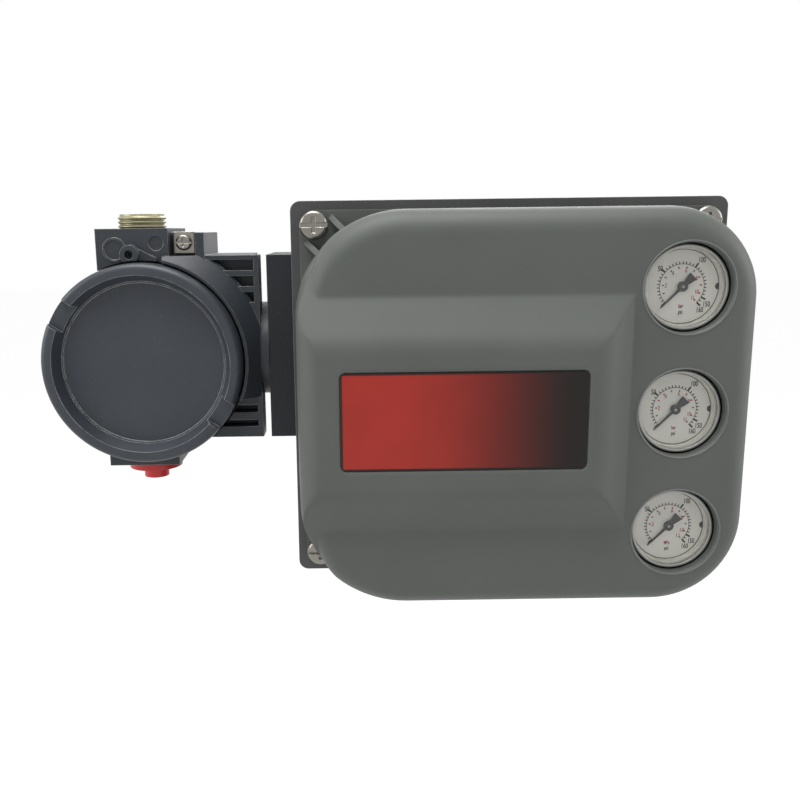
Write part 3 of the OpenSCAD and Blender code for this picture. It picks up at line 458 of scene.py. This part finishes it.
def label_film(name, bright, dark, low, high):
    """Printed film that fades from red at the left to near black at the right, with a dark line round it."""
    fade_start, fade_end = 0.22, 0.96
    line_inside, line_outside = 0.75 * MM, 0.45 * MM
    material, shader = new_material(name)
    tree = material.node_tree
    place = add_place(tree)
    ramp = tree.nodes.new("ShaderNodeValToRGB")
    tree.links.new(add_range(tree, place["X"], low.x, high.x, 0.0, 1.0), ramp.inputs["Fac"])
    ramp.color_ramp.interpolation = "EASE"
    first, last = ramp.color_ramp.elements
    first.position = fade_start
    first.color = (*bright, 1.0)
    last.position = fade_end
    last.color = (*dark, 1.0)
    grains = place_group(material, grain_group(), {"Grain Scale": 2600.0, "Patch Scale": 60.0})
    patches = grains.outputs["Patch"]
    film = add_mix(tree, add_range(tree, patches, *PATCH_RANGE, 0.0, 0.14), ramp.outputs["Color"], dark)
    inside = add_math(
        tree, "MINIMUM",
        edge_distance(tree, place["X"], low.x, high.x),
        edge_distance(tree, place["Z"], low.z, high.z),
    )
    line = add_range(tree, inside, line_outside, line_inside, 0.9, 0.0)
    tree.links.new(add_mix(tree, line, film, dark), shader.inputs["Base Color"])
    tree.links.new(add_range(tree, patches, *PATCH_RANGE, 0.30, 0.40), shader.inputs["Roughness"])
    relief = add_bump(tree, grains.outputs["Height"], 0.03, 0.1 * MM)
    tree.links.new(relief.outputs["Normal"], shader.inputs["Normal"])
    shader.inputs["Specular IOR Level"].default_value = 0.12
    return material


def paint(names, material):
    """Gives CAD nodes one material."""
    for name in names:
        mesh = NODES[name].data
        mesh.materials.clear()
        mesh.materials.append(material)


# Mesh helpers


def link_object(name, data):
    """A new object in the scene."""
    item = bpy.data.objects.new(name, data)
    bpy.context.scene.collection.objects.link(item)
    return item


def closed_object(name, shape):
    """A new object from a closed bmesh, which is used up."""
    bmesh.ops.recalc_face_normals(shape, faces=shape.faces)
    mesh = bpy.data.meshes.new(name)
    shape.to_mesh(mesh)
    shape.free()
    return link_object(name, mesh)


def finish_piece(name, shape, material, body, smooth_degrees=None):
    """Turns a bmesh into a piece that rides on a body, smooth where faces turn less than an angle."""
    piece = closed_object(name, shape)
    mesh = piece.data
    mesh.materials.append(material)
    if smooth_degrees is not None:
        mesh.polygons.foreach_set("use_smooth", [True] * len(mesh.polygons))
        mesh.set_sharp_from_angle(angle=math.radians(smooth_degrees))
    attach(piece, body)
    return piece


def share_between(value, start, end):
    """How far a value is on its way from a start to an end, from 0 to 1."""
    return min(1.0, max(0.0, (value - start) / (end - start)))


def dial_directions(angle):
    """Outward and sideways directions at an angle on a dial, anticlockwise from the right."""
    along = Vector((math.cos(angle), 0.0, math.sin(angle)))
    across = Vector((-math.sin(angle), 0.0, math.cos(angle)))
    return along, across


def dial_point(centre, radius, angle):
    """A point on a dial, anticlockwise from the right, seen from the front."""
    return centre + dial_directions(angle)[0] * radius


def node_middle(name):
    """The middle of a CAD node's box."""
    low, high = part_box(name)
    return (low + high) / 2


def node_radius(name):
    """Half the width of a CAD node."""
    low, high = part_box(name)
    return (high.x - low.x) / 2


def add_circle(shape, centre, y, radius, steps):
    """Vertices round a Y axis through a centre, at a depth."""
    middle = Vector((centre.x, y, centre.z))
    return [shape.verts.new(dial_point(middle, radius, 2 * math.pi * i / steps)) for i in range(steps)]


def add_band(shape, first, second):
    """Faces between two closed rows of vertices."""
    count = len(first)
    for i in range(count):
        j = (i + 1) % count
        shape.faces.new((first[i], first[j], second[j], second[i]))


def add_fan(shape, pole, row):
    """Faces between one vertex and a closed row of vertices."""
    for i, vertex in enumerate(row):
        shape.faces.new((pole, vertex, row[(i + 1) % len(row)]))


def add_prism(shape, outline, depth):
    """A closed prism from an outline on the dial, towards the back by depth."""
    front = [shape.verts.new(point) for point in outline]
    back = [shape.verts.new(point + Vector((0.0, depth, 0.0))) for point in outline]
    shape.faces.new(front)
    shape.faces.new(list(reversed(back)))
    add_band(shape, front, back)


def add_tick(shape, centre, inner, outer, angle, width, depth):
    """One radial block, such as a tick mark."""
    along, across = dial_directions(angle)
    start, end, half = centre + along * inner, centre + along * outer, across * width / 2
    add_prism(shape, [start - half, start + half, end + half, end - half], depth)


def add_arc(shape, centre, radius, width, start, sweep, depth, steps=72):
    """A flat arc line, as a closed strip."""
    back = Vector((0.0, depth, 0.0))
    rows = []
    for i in range(steps + 1):
        along = dial_directions(start - sweep * i / steps)[0]
        inner = centre + along * (radius - width / 2)
        outer = centre + along * (radius + width / 2)
        rows.append([shape.verts.new(point) for point in (inner, outer, outer + back, inner + back)])
    for first, second in zip(rows, rows[1:]):
        add_band(shape, first, second)
    for row in (rows[0], rows[-1]):
        shape.faces.new(row)


def add_text(shape, text, place, size, width, depth):
    """Printed figures, upright on the dial and centred on a place; width narrows them."""
    curve = bpy.data.curves.new("figures", "FONT")
    curve.body = text
    curve.size = size
    curve.align_x = "CENTER"
    curve.align_y = "CENTER"
    curve.extrude = depth / 2
    curve.offset = size * 0.02
    curve.resolution_u = 4
    holder = link_object("figures", curve)
    bpy.context.view_layer.update()
    mesh = bpy.data.meshes.new_from_object(holder.evaluated_get(bpy.context.evaluated_depsgraph_get()))
    upright = Matrix.Rotation(math.pi / 2, 4, "X")
    mesh.transform(Matrix.Translation(place) @ upright @ Matrix.Diagonal((width, 1.0, 1.0, 1.0)))
    shape.from_mesh(mesh)
    bpy.data.objects.remove(holder)
    bpy.data.curves.remove(curve)
    bpy.data.meshes.remove(mesh)


def add_ring(shape, centre, profile, steps=96):
    """A closed ring turned round a Y axis; the profile is a loop of (radius, y) points."""
    rows = [add_circle(shape, centre, y, radius, steps) for radius, y in profile]
    for first, second in zip(rows, rows[1:] + rows[:1]):
        add_band(shape, first, second)


def add_lathe(shape, centre, profile, steps=144):
    """A closed solid turned round a Y axis; the profile's (radius, y) points run from pole to pole."""
    rows = [add_circle(shape, centre, y, radius, steps) for radius, y in profile[1:-1]]
    for first, second in zip(rows, rows[1:]):
        add_band(shape, first, second)
    for (_, y), row in ((profile[0], rows[0]), (profile[-1], rows[-1])):
        add_fan(shape, shape.verts.new((centre.x, y, centre.z)), row)


def cut_away(shape, cutter):
    """The first closed shape without the second one, as a new shape; both are used up."""
    holders = [closed_object("part", part) for part in (shape, cutter)]
    step = holders[0].modifiers.new("cut", "BOOLEAN")
    step.operation = "DIFFERENCE"
    step.solver = "EXACT"
    step.object = holders[1]
    bpy.context.view_layer.update()
    cut = holders[0].evaluated_get(bpy.context.evaluated_depsgraph_get())
    result = bpy.data.meshes.new_from_object(cut)
    trimmed = bmesh.new()
    trimmed.from_mesh(result)
    bpy.data.meshes.remove(result)
    for holder in holders:
        mesh = holder.data
        bpy.data.objects.remove(holder)
        bpy.data.meshes.remove(mesh)
    return trimmed


def add_button(shape, centre, radius, height, steps=24, levels=4):
    """A closed low dome on a flat base, its top towards the front."""
    rows = []
    for level in range(levels):
        lean = math.pi / 2 * level / levels
        y = centre.y - height * math.sin(lean)
        rows.append(add_circle(shape, centre, y, radius * math.cos(lean), steps))
    shape.faces.new(rows[0])
    for first, second in zip(rows, rows[1:]):
        add_band(shape, first, second)
    add_fan(shape, shape.verts.new((centre.x, centre.y - height, centre.z)), rows[-1])


class POSITIONER_OT_castings(bpy.types.Operator):
    """Paint the housing and module base"""

    bl_idname = "positioner.castings"
    bl_label = "Castings"

    def execute(self, context):
        colours = settings().colours
        casting = surface_finish(
            "rim paint", colours.casting, 0.46, bump=0.10, edge=0.22, radius=0.4, speck=0.03, specular=0.35
        )
        housing = surface_finish(
            "housing paint", colours.housing, 0.5, bump=0.10, edge=0.10, radius=0.5, speck=0.03, specular=0.25
        )
        paint(["module_base"], casting)
        paint(["housing"], housing)
        return {"FINISHED"}


class POSITIONER_OT_terminal_box(bpy.types.Operator):
    """Paint the terminal box, and open the room behind the edge of its web"""

    bl_idname = "positioner.terminal_box"
    bl_label = "Terminal box"

    def execute(self, context):
        # edge lightens the box's edges, partly wear and partly a painted highlight
        finish = surface_finish(
            "terminal box paint", settings().colours.box, 0.42, bump=0.08, edge=0.30, radius=0.45, speck=0.03,
            specular=0.35,
        )
        paint(["terminal_box"], finish)
        shape = bmesh.new()
        shape.from_mesh(NODES["terminal_box"].data)
        bmesh.ops.remove_doubles(shape, verts=shape.verts, dist=WELD)
        shape = cut_away(shape, self.room())
        bmesh.ops.dissolve_degenerate(shape, dist=WELD, edges=shape.edges)
        piece = finish_piece("terminal_box_casting", shape, finish, "frame", smooth_degrees=12)
        square_to_axis = 0.9999
        for face in piece.data.polygons:
            face.use_smooth = max(abs(share) for share in face.normal) < square_to_axis
        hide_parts("terminal_box")
        return {"FINISHED"}

    def room(self):
        """The room behind the web's edge, with the neck left standing in it."""
        low, high = Vector(ROOM_LOW) * MM, Vector(ROOM_HIGH) * MM
        block = bmesh.new()
        fitted = Matrix.Translation((low + high) / 2) @ Matrix.Diagonal((*(high - low), 1.0))
        bmesh.ops.create_cube(block, size=1.0, matrix=fitted)
        neck = bmesh.new()
        along = Matrix.Translation(Vector(NECK_PLACE) * MM) @ Matrix.Rotation(math.pi / 2, 4, "Y")
        radius = NECK_RADIUS * MM
        bmesh.ops.create_cone(
            neck, cap_ends=True, segments=96, radius1=radius, radius2=radius, depth=NECK_LENGTH * MM,
            matrix=along,
        )
        return cut_away(block, neck)


class POSITIONER_OT_screw_cap(bpy.types.Operator):
    """Turn the terminal box's screw cap, with its sunk disc and the two notches for a bar"""

    bl_idname = "positioner.screw_cap"
    bl_label = "Screw cap"

    def execute(self, context):
        # edge lightens the cap's rim edges strongly, mostly as a painted highlight
        finish = surface_finish(
            "screw cap paint", settings().colours.cap, 0.40, bump=0.08, edge=0.45, radius=0.4, speck=0.03,
            specular=0.35,
        )
        paint(["terminal_cap"], finish)
        low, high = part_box("terminal_cap")
        centre = node_middle("terminal_cap")
        radius = node_radius("terminal_cap")
        front = low.y - settings().forms.cap_lead
        shape = bmesh.new()
        add_lathe(shape, centre, self.profile(radius, low.y, front, high.y))
        for turn in CAP_NOTCHES:
            shape = cut_away(shape, self.notch(centre, radius, front, math.radians(turn)))
        piece = finish_piece("screw_cap", shape, finish, "cap", smooth_degrees=25)
        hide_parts("terminal_cap")
        return {"FINISHED"}

    def profile(self, radius, solid_front, front, back):
        """Half section of the cap, from the middle of its disc to the middle of its bore."""
        forms = settings().forms
        disc = front + forms.disc_sink
        ledge = front + forms.ledge_sink
        bore_end = solid_front + forms.bore_top
        steps = 8
        turns = [math.pi / 2 * i / steps for i in range(steps + 1)]
        middle = radius - forms.corner
        rounding = [
            (middle + forms.corner * math.sin(t), front + forms.corner * (1 - math.cos(t))) for t in turns
        ]
        return [
            (0.0, disc), (forms.disc_radius, disc), (forms.disc_radius, ledge), (forms.ledge_radius, ledge),
            (forms.cone_radius, front), *rounding, (radius, back), (forms.bore_radius, back),
            (forms.bore_radius, bore_end), (0.0, bore_end),
        ]

    def notch(self, centre, radius, front, turn):
        """The block that cuts one notch across the rim."""
        forms = settings().forms
        over = 1 * MM
        middle = Vector((centre.x, front - over, centre.z))
        inner, outer = forms.disc_radius - 2 * over, radius + over
        cutter = bmesh.new()
        add_tick(cutter, middle, inner, outer, turn, forms.notch_width, forms.notch_depth + over)
        return cutter


class POSITIONER_OT_cover(bpy.types.Operator):
    """Form the cover's leaning wall and the beads of its holes, and finish the cover and the label plate"""

    bl_idname = "positioner.cover"
    bl_label = "Cover and label"

    def execute(self, context):
        colours = settings().colours
        first_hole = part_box("supply_case")[0].x
        soft_across = (first_hole - 8 * MM, first_hole - 2 * MM)
        soft_ahead = (-92 * MM, -86 * MM)
        plastic = surface_finish(
            "cover plastic", colours.cover, 0.52, grain=2200.0, bump=0.08, patch=0.05, edge=0.02, radius=0.5,
            specular=0.3, soft=(soft_across, soft_ahead, settings().forms.soft_rounding),
        )
        paint(["cover"], plastic)
        self.shell()
        # The beads take the lighter lip colour, a painted highlight round the gauge holes
        lip = surface_finish("cover lip", colours.lip, 0.45, grain=2200.0, bump=0.05, patch=0.05, edge=0.0)
        self.hole_beads(lip)
        low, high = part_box("label_plate")
        paint(["label_plate"], label_film("label film", colours.label_bright, colours.label_dark, low, high))
        return {"FINISHED"}

    def shell(self):
        """The cover with its left wall leaning in towards the front, as a moulding leaves its tool."""
        forms = settings().forms
        mesh = NODES["cover"].data.copy()
        mesh.name = "cover_shell"
        for vertex in mesh.vertices:
            across = share_between(vertex.co.x, forms.lean_inside, forms.lean_outside)
            eased = across * across * (3 - 2 * across)
            ahead = share_between(vertex.co.y, forms.lean_start, forms.lean_end)
            vertex.co.x += forms.wall_lean * eased * ahead
        piece = link_object("cover_shell", mesh)
        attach(piece, "cover")
        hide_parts("cover")

    def hole_beads(self, material):
        """A fine half-round bead round the mouth of each gauge hole."""
        front = HOLE_FRONT * MM
        reach = HOLE_MOUTH * MM
        bead, sunk = 0.28 * MM, 0.15 * MM
        steps = 8
        arc = [math.pi * i / steps for i in range(steps + 1)]
        profile = [(reach + bead * math.cos(turn), front - bead * math.sin(turn)) for turn in arc]
        profile += [(reach - bead, front + sunk), (reach + bead, front + sunk)]
        for name in GAUGES:
            shape = bmesh.new()
            add_ring(shape, node_middle(name + "_dial"), profile)
            finish_piece(name + "_hole_bead", shape, material, "cover", smooth_degrees=50)


class POSITIONER_OT_gauges(bpy.types.Operator):
    """Finish the gauges, make their liners and pointers, and print their dials"""

    bl_idname = "positioner.gauges"
    bl_label = "Gauges"

    def execute(self, context):
        colours = settings().colours
        steel = surface_finish(
            "gauge steel", colours.bezel, 0.30, metallic=0.6, bump=0.02, patch=0.05, edge=0.15, radius=0.3
        )
        face = surface_finish("dial face", colours.dial, 0.5, grain=3000.0, bump=0.02, patch=0.02, edge=0.0)
        liner = surface_finish("dial liner", colours.liner, 0.5, grain=3000.0, bump=0.02, edge=0.0)
        ink = surface_finish("dial ink", colours.ink, 0.5, bump=0.02, edge=0.0)
        red_ink = surface_finish("red dial ink", colours.red_ink, 0.5, bump=0.02, edge=0.0)
        glass = clear_glass("gauge glass")
        pointer = surface_finish("pointer black", colours.pointer, 0.42, bump=0.03, edge=0.1, radius=0.1)
        brass = surface_finish("gauge brass", colours.brass, 0.35, metallic=1.0, bump=0.04)
        for name, (figures, unit) in zip(GAUGES, INNER_SCALES):
            for part, finish in (("case", steel), ("dial", face), ("window", glass), ("pointer", pointer)):
                paint([f"{name}_{part}"], finish)
            self.liner(name, liner)
            self.hand(name, pointer)
            self.pointer_pin(name, steel)
            self.outer_scale(name, ink)
            self.inner_scale(name, figures, unit, red_ink)
        paint(["gauge_movements"], brass)
        return {"FINISHED"}

    def print_centre(self, name):
        """The middle of a dial, at the front of its print."""
        centre = node_middle(name + "_dial")
        centre.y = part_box(name + "_dial")[0].y - settings().dial.print_height
        return centre

    def liner(self, name, material):
        """A pale ring that holds the dial off the glass."""
        gap, lead = 0.05 * MM, 0.3 * MM
        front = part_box(name + "_window")[1].y + gap
        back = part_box(name + "_dial")[0].y - gap
        outer = node_radius(name + "_dial")
        inner = outer - settings().dial.liner_width
        shape = bmesh.new()
        profile = [(inner, back), (inner + lead, front), (outer, front), (outer, back)]
        add_ring(shape, node_middle(name + "_dial"), profile)
        finish_piece(name + "_liner", shape, material, "frame", smooth_degrees=30)

    def hand(self, name, material):
        """A slim pointer at zero, with a fan-shaped tail, a round hub and its spindle."""
        forms = settings().forms
        low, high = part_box(name + "_pointer")
        centre = self.print_centre(name)
        hub_lead, thickness, spindle = 0.4 * MM, 0.5 * MM, 0.8 * MM
        centre.y = low.y + hub_lead
        back = centre.y + thickness
        along, across = dial_directions(settings().dial.zero)
        tip = centre + along * forms.pointer_length
        tail = centre - along * forms.tail_length
        wide, narrow, fan = across * 0.5 * MM, across * 0.2 * MM, across * 1.8 * MM
        outline = [centre + wide, tip + narrow, tip - narrow, centre - wide, tail - fan, tail + fan]
        shape = bmesh.new()
        add_prism(shape, outline, thickness)
        profile = [
            (0.0, low.y), (forms.hub_radius, low.y), (forms.hub_radius, back), (spindle, back),
            (spindle, high.y), (0.0, high.y),
        ]
        add_lathe(shape, centre, profile, steps=32)
        piece = finish_piece(name + "_hand", shape, material, name + "_needle")
        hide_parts(name + "_pointer")

    def pointer_pin(self, name, material):
        """The domed end of the pointer's spindle."""
        radius, height = 0.6 * MM, 0.35 * MM
        centre = self.print_centre(name)
        centre.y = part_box(name + "_pointer")[0].y
        shape = bmesh.new()
        add_button(shape, centre, radius, height)
        finish_piece(name + "_pin", shape, material, name + "_needle", smooth_degrees=40)

    def scale_angle(self, value, full):
        """Direction of a value on a scale, from zero to its full value."""
        dial = settings().dial
        return dial.zero - dial.sweep * value / full

    def print_word(self, shape, word, centre, reach, angle, size):
        """A number or unit in the dials' narrow type."""
        dial = settings().dial
        place = dial_point(centre, reach, angle)
        add_text(shape, word, place, size, dial.number_width, dial.print_height)

    def outer_scale(self, name, ink):
        """Black scale from 0 to 160, its unit, a dark line round the dial's edge and the half-round stop mark
        on it; the line is painted shadow where the dial meets the liner.
        """
        dial = settings().dial
        arc_width, tick_width, long_tick_width = 0.2 * MM, 0.4 * MM, 0.7 * MM
        shadow_line_width, stop_radius = 0.25 * MM, 1.3 * MM
        centre = self.print_centre(name)
        depth = dial.print_height
        shape = bmesh.new()
        add_arc(shape, centre, dial.arc_radius, arc_width, dial.zero, dial.sweep, depth)
        for value in range(0, OUTER_FULL + 1, OUTER_STEP):
            is_long = value % OUTER_LONG_STEP == 0 or value == OUTER_FULL
            end = dial.arc_radius + (dial.long_tick if is_long else dial.tick)
            width = long_tick_width if is_long else tick_width
            add_tick(shape, centre, dial.arc_radius, end, self.scale_angle(value, OUTER_FULL), width, depth)
        for value, reach, offset in OUTER_NUMBERS:
            angle = self.scale_angle(value, OUTER_FULL) + math.radians(offset)
            self.print_word(shape, str(value), centre, reach * MM, angle, dial.number_size)
        self.print_word(shape, OUTER_UNIT, centre, dial.unit_radius, DOWN, dial.unit_size)
        # A thin dark ring at the liner's foot: painted shadow in the gap between dial and liner
        outer = node_radius(name + "_dial") - dial.liner_width
        inner = outer - shadow_line_width
        front, back = centre.y, centre.y + depth
        add_ring(shape, centre, [(inner, front), (outer, front), (outer, back), (inner, back)])
        edge = dial_point(centre, inner, 0.0)
        steps = 16
        turns = [math.pi / 2 + math.pi * i / steps for i in range(steps + 1)]
        add_prism(shape, [dial_point(edge, stop_radius, turn) for turn in turns], depth)
        finish_piece(name + "_outer_scale", shape, ink, "frame")

    def inner_scale(self, name, figures, unit, ink):
        """Red marks with a number at every other one and the last, and their unit."""
        dial = settings().dial
        centre = self.print_centre(name)
        mark_length, mark_width = 0.8 * MM, 0.55 * MM
        inner = dial.mark_radius - mark_length / 2
        outer = dial.mark_radius + mark_length / 2
        shape = bmesh.new()
        for value in range(1, INNER_FULL + 1):
            angle = self.scale_angle(value, INNER_FULL)
            add_tick(shape, centre, inner, outer, angle, mark_width, dial.print_height)
        for value, figure in zip(INNER_VALUES, figures):
            angle = self.scale_angle(value, INNER_FULL)
            self.print_word(shape, figure, centre, dial.inner_numbers, angle, dial.inner_size)
        self.print_word(shape, unit, centre, dial.inner_unit_radius, DOWN, dial.inner_unit_size)
        finish_piece(name + "_inner_scale", shape, ink, "frame")


class POSITIONER_OT_fasteners(bpy.types.Operator):
    """Plate the screws and the earth clamp, and blacken the cap's lock screw"""

    bl_idname = "positioner.fasteners"
    bl_label = "Fasteners"

    def execute(self, context):
        colours = settings().colours
        nickel = surface_finish(
            "nickel plating", colours.nickel, 0.28, metallic=1.0, grain=900.0, bump=0.05, radius=0.35
        )
        names = [
            "cover_screws", "module_screws", "ip_screws", "relay_screws", "electronics_screws",
            "sensor_screws", "terminal_box_screws", "terminal_screws", "board_screws", "earth_screw",
            "earth_clamp",
        ]
        paint(names, nickel)
        oxide = surface_finish("black oxide", colours.black, 0.4, metallic=0.6, bump=0.05, radius=0.2)
        paint(["cap_lock_screw"], oxide)
        return {"FINISHED"}


class POSITIONER_OT_conduit_fittings(bpy.types.Operator):
    """Finish the pipe plug and the red cap"""

    bl_idname = "positioner.conduit_fittings"
    bl_label = "Conduit fittings"

    def execute(self, context):
        colours = settings().colours
        zinc = surface_finish(
            "yellow zinc", colours.zinc, 0.38, metallic=0.75, grain=700.0, bump=0.08, patch=0.2, radius=0.2
        )
        paint(["conduit_plug"], zinc)
        red = surface_finish(
            "red plastic", colours.red, 0.34, grain=800.0, bump=0.05, patch=0.06, edge=0.03, radius=0.5
        )
        paint(["conduit_cap"], red)
        return {"FINISHED"}


class POSITIONER_OT_linkage(bpy.types.Operator):
    """Finish the arm, its screw and spring, and the shaft with its bush"""

    bl_idname = "positioner.linkage"
    bl_label = "Linkage arm"

    def execute(self, context):
        colours = settings().colours
        steel = surface_finish(
            "arm steel", colours.steel, 0.32, metallic=1.0, grain=500.0, bump=0.05, patch=0.1, radius=0.3
        )
        paint(["feedback_shaft", "feedback_arm", "arm_clamp_screw", "bias_spring"], steel)
        paint(["shaft_bush"], surface_finish("bush brass", colours.brass, 0.36, metallic=1.0, bump=0.05))
        return {"FINISHED"}


class POSITIONER_OT_inner_parts(bpy.types.Operator):
    """Finish the pieces under the cover and the cap, the vent and the seals"""

    bl_idname = "positioner.inner_parts"
    bl_label = "Inner parts"

    def execute(self, context):
        colours = settings().colours
        black = surface_finish("black plastic", colours.black, 0.5, bump=0.08, edge=0.12)
        paint(["vent", "travel_sensor", "ip_shroud", "electronics_module", "terminal_blocks"], black)
        rubber = surface_finish("seal rubber", colours.rubber, 0.7, bump=0.05, edge=0.05)
        paint(["cover_seal", "module_base_seal", "neck_seal", "relay_seal", "cap_o_ring"], rubber)
        paint(["loop_leads"], surface_finish("lead insulation", colours.rubber, 0.5, bump=0.04, edge=0.05))
        alloy = surface_finish(
            "machined alloy", colours.alloy, 0.36, metallic=1.0, grain=600.0, patch=0.08, radius=0.4
        )
        paint(["ip_converter", "pneumatic_relay"], alloy)
        mask = surface_finish("solder mask", colours.board, 0.4, bump=0.04, edge=0.05, radius=0.2)
        paint(["terminal_board"], mask)
        return {"FINISHED"}


class POSITIONER_OT_stage(bpy.types.Operator):
    """Set the floor, the lights, the background and the camera"""

    bl_idname = "positioner.stage"
    bl_label = "Stage"

    def execute(self, context):
        self.floor()
        self.lights()
        self.background()
        self.camera()
        context.scene.view_settings.view_transform = "Standard"
        return {"FINISHED"}

    def floor(self):
        """A pale floor below the part."""
        size = 6.0
        white_share = 0.88
        shape = bmesh.new()
        bmesh.ops.create_grid(shape, x_segments=1, y_segments=1, size=size)
        mesh = bpy.data.meshes.new("floor")
        shape.to_mesh(mesh)
        shape.free()
        floor = link_object("floor", mesh)
        floor.location.z = CAD_BOX[0].z - settings().stage.floor_drop
        material, shader = new_material("pale floor")
        tree = material.node_tree
        shader.inputs["Base Color"].default_value = (0.86, 0.86, 0.86, 1.0)
        shader.inputs["Roughness"].default_value = 0.9
        glow = tree.nodes.new("ShaderNodeEmission")
        glow.inputs["Strength"].default_value = 1.06
        blend = tree.nodes.new("ShaderNodeMixShader")
        tree.links.new(self.seen(tree, white_share), blend.inputs[0])
        tree.links.new(shader.outputs[0], blend.inputs[1])
        tree.links.new(glow.outputs[0], blend.inputs[2])
        tree.links.new(blend.outputs[0], tree.nodes["Material Output"].inputs["Surface"])
        mesh.materials.append(material)

    def seen(self, tree, share):
        """How much of the plain white a ray gets: this share for camera, glossy and transmitted rays."""
        path = tree.nodes.new("ShaderNodeLightPath")
        some = add_math(tree, "MAXIMUM", path.outputs["Is Camera Ray"], path.outputs["Is Glossy Ray"])
        any_ray = add_math(tree, "MAXIMUM", some, path.outputs["Is Transmission Ray"])
        return add_math(tree, "MULTIPLY", any_ray, share)

    def lights(self):
        """A large soft key from above, and a weaker softbox at each side and behind."""
        centre = (CAD_BOX[0] + CAD_BOX[1]) / 2
        size = 0.8
        lamps = [
            ("key_light", (-0.15, -0.24, 1.08), 18.0),
            ("left_softbox", (-1.15, -0.35, 0.40), 7.5),
            ("right_softbox", (1.20, -0.20, 0.25), 7.5),
            ("back_softbox", (0.30, 1.00, 0.60), 7.5),
        ]
        for name, place, power in lamps:
            data = bpy.data.lights.new(name, "AREA")
            data.shape = "SQUARE"
            data.size = size
            data.energy = power
            lamp = link_object(name, data)
            lamp.location = centre + Vector(place)
            lamp.rotation_euler = (-Vector(place)).to_track_quat("-Z", "Y").to_euler()

    def background(self):
        """Even grey light, seen as white."""
        world = bpy.data.worlds.new("studio")
        bpy.context.scene.world = world
        world.use_nodes = True
        tree = world.node_tree
        sky = tree.nodes["Background"]
        ambient = 0.43
        strength = add_math(tree, "ADD", self.seen(tree, 1.0 - ambient), ambient)
        tree.links.new(strength, sky.inputs["Strength"])
        sky.inputs["Color"].default_value = (1.0, 1.0, 1.0, 1.0)

    def camera(self):
        """The photograph's point of view."""
        stage = settings().stage
        data = bpy.data.cameras.new("camera")
        data.lens = stage.lens
        data.shift_x = stage.shift
        data.sensor_width = 36.0
        data.clip_start = 0.01
        camera = link_object("camera", data)
        turn = Matrix.Rotation(stage.camera_yaw, 4, "Z")
        tilt = Matrix.Rotation(math.pi / 2 + stage.camera_pitch, 4, "X")
        roll = Matrix.Rotation(stage.camera_roll, 4, "Z")
        camera.matrix_world = Matrix.Translation(stage.camera_place) @ turn @ tilt @ roll
        bpy.context.scene.camera = camera


OPERATORS = (
    POSITIONER_OT_castings,
    POSITIONER_OT_terminal_box,
    POSITIONER_OT_screw_cap,
    POSITIONER_OT_cover,
    POSITIONER_OT_gauges,
    POSITIONER_OT_fasteners,
    POSITIONER_OT_conduit_fittings,
    POSITIONER_OT_linkage,
    POSITIONER_OT_inner_parts,
    POSITIONER_OT_stage,
)


class POSITIONER_PT_sidebar(bpy.types.Panel):
    """Lists the steps that dress the positioner"""

    bl_idname = "POSITIONER_PT_sidebar"
    bl_label = "Valve positioner"
    bl_space_type = "VIEW_3D"
    bl_region_type = "UI"
    bl_category = "Positioner"

    def draw(self, context):
        for operator in OPERATORS:
            self.layout.operator(operator.bl_idname)


CLASSES = (
    PositionerColours, PositionerDial, PositionerForms, PositionerStage, PositionerSettings, *OPERATORS,
    POSITIONER_PT_sidebar,
)


def register():
    for entry in CLASSES:
        bpy.utils.register_class(entry)
    bpy.types.Scene.positioner = PointerProperty(type=PositionerSettings)


def unregister():
    del bpy.types.Scene.positioner
    for entry in reversed(CLASSES):
        bpy.utils.unregister_class(entry)


def main():
    """Dresses the part and the stage."""
    register()
    bpy.ops.positioner.castings()
    bpy.ops.positioner.terminal_box()
    bpy.ops.positioner.screw_cap()
    bpy.ops.positioner.cover()
    bpy.ops.positioner.gauges()
    bpy.ops.positioner.fasteners()
    bpy.ops.positioner.conduit_fittings()
    bpy.ops.positioner.linkage()
    bpy.ops.positioner.inner_parts()
    bpy.ops.positioner.stage()


if __name__ == "__main__":
    main()
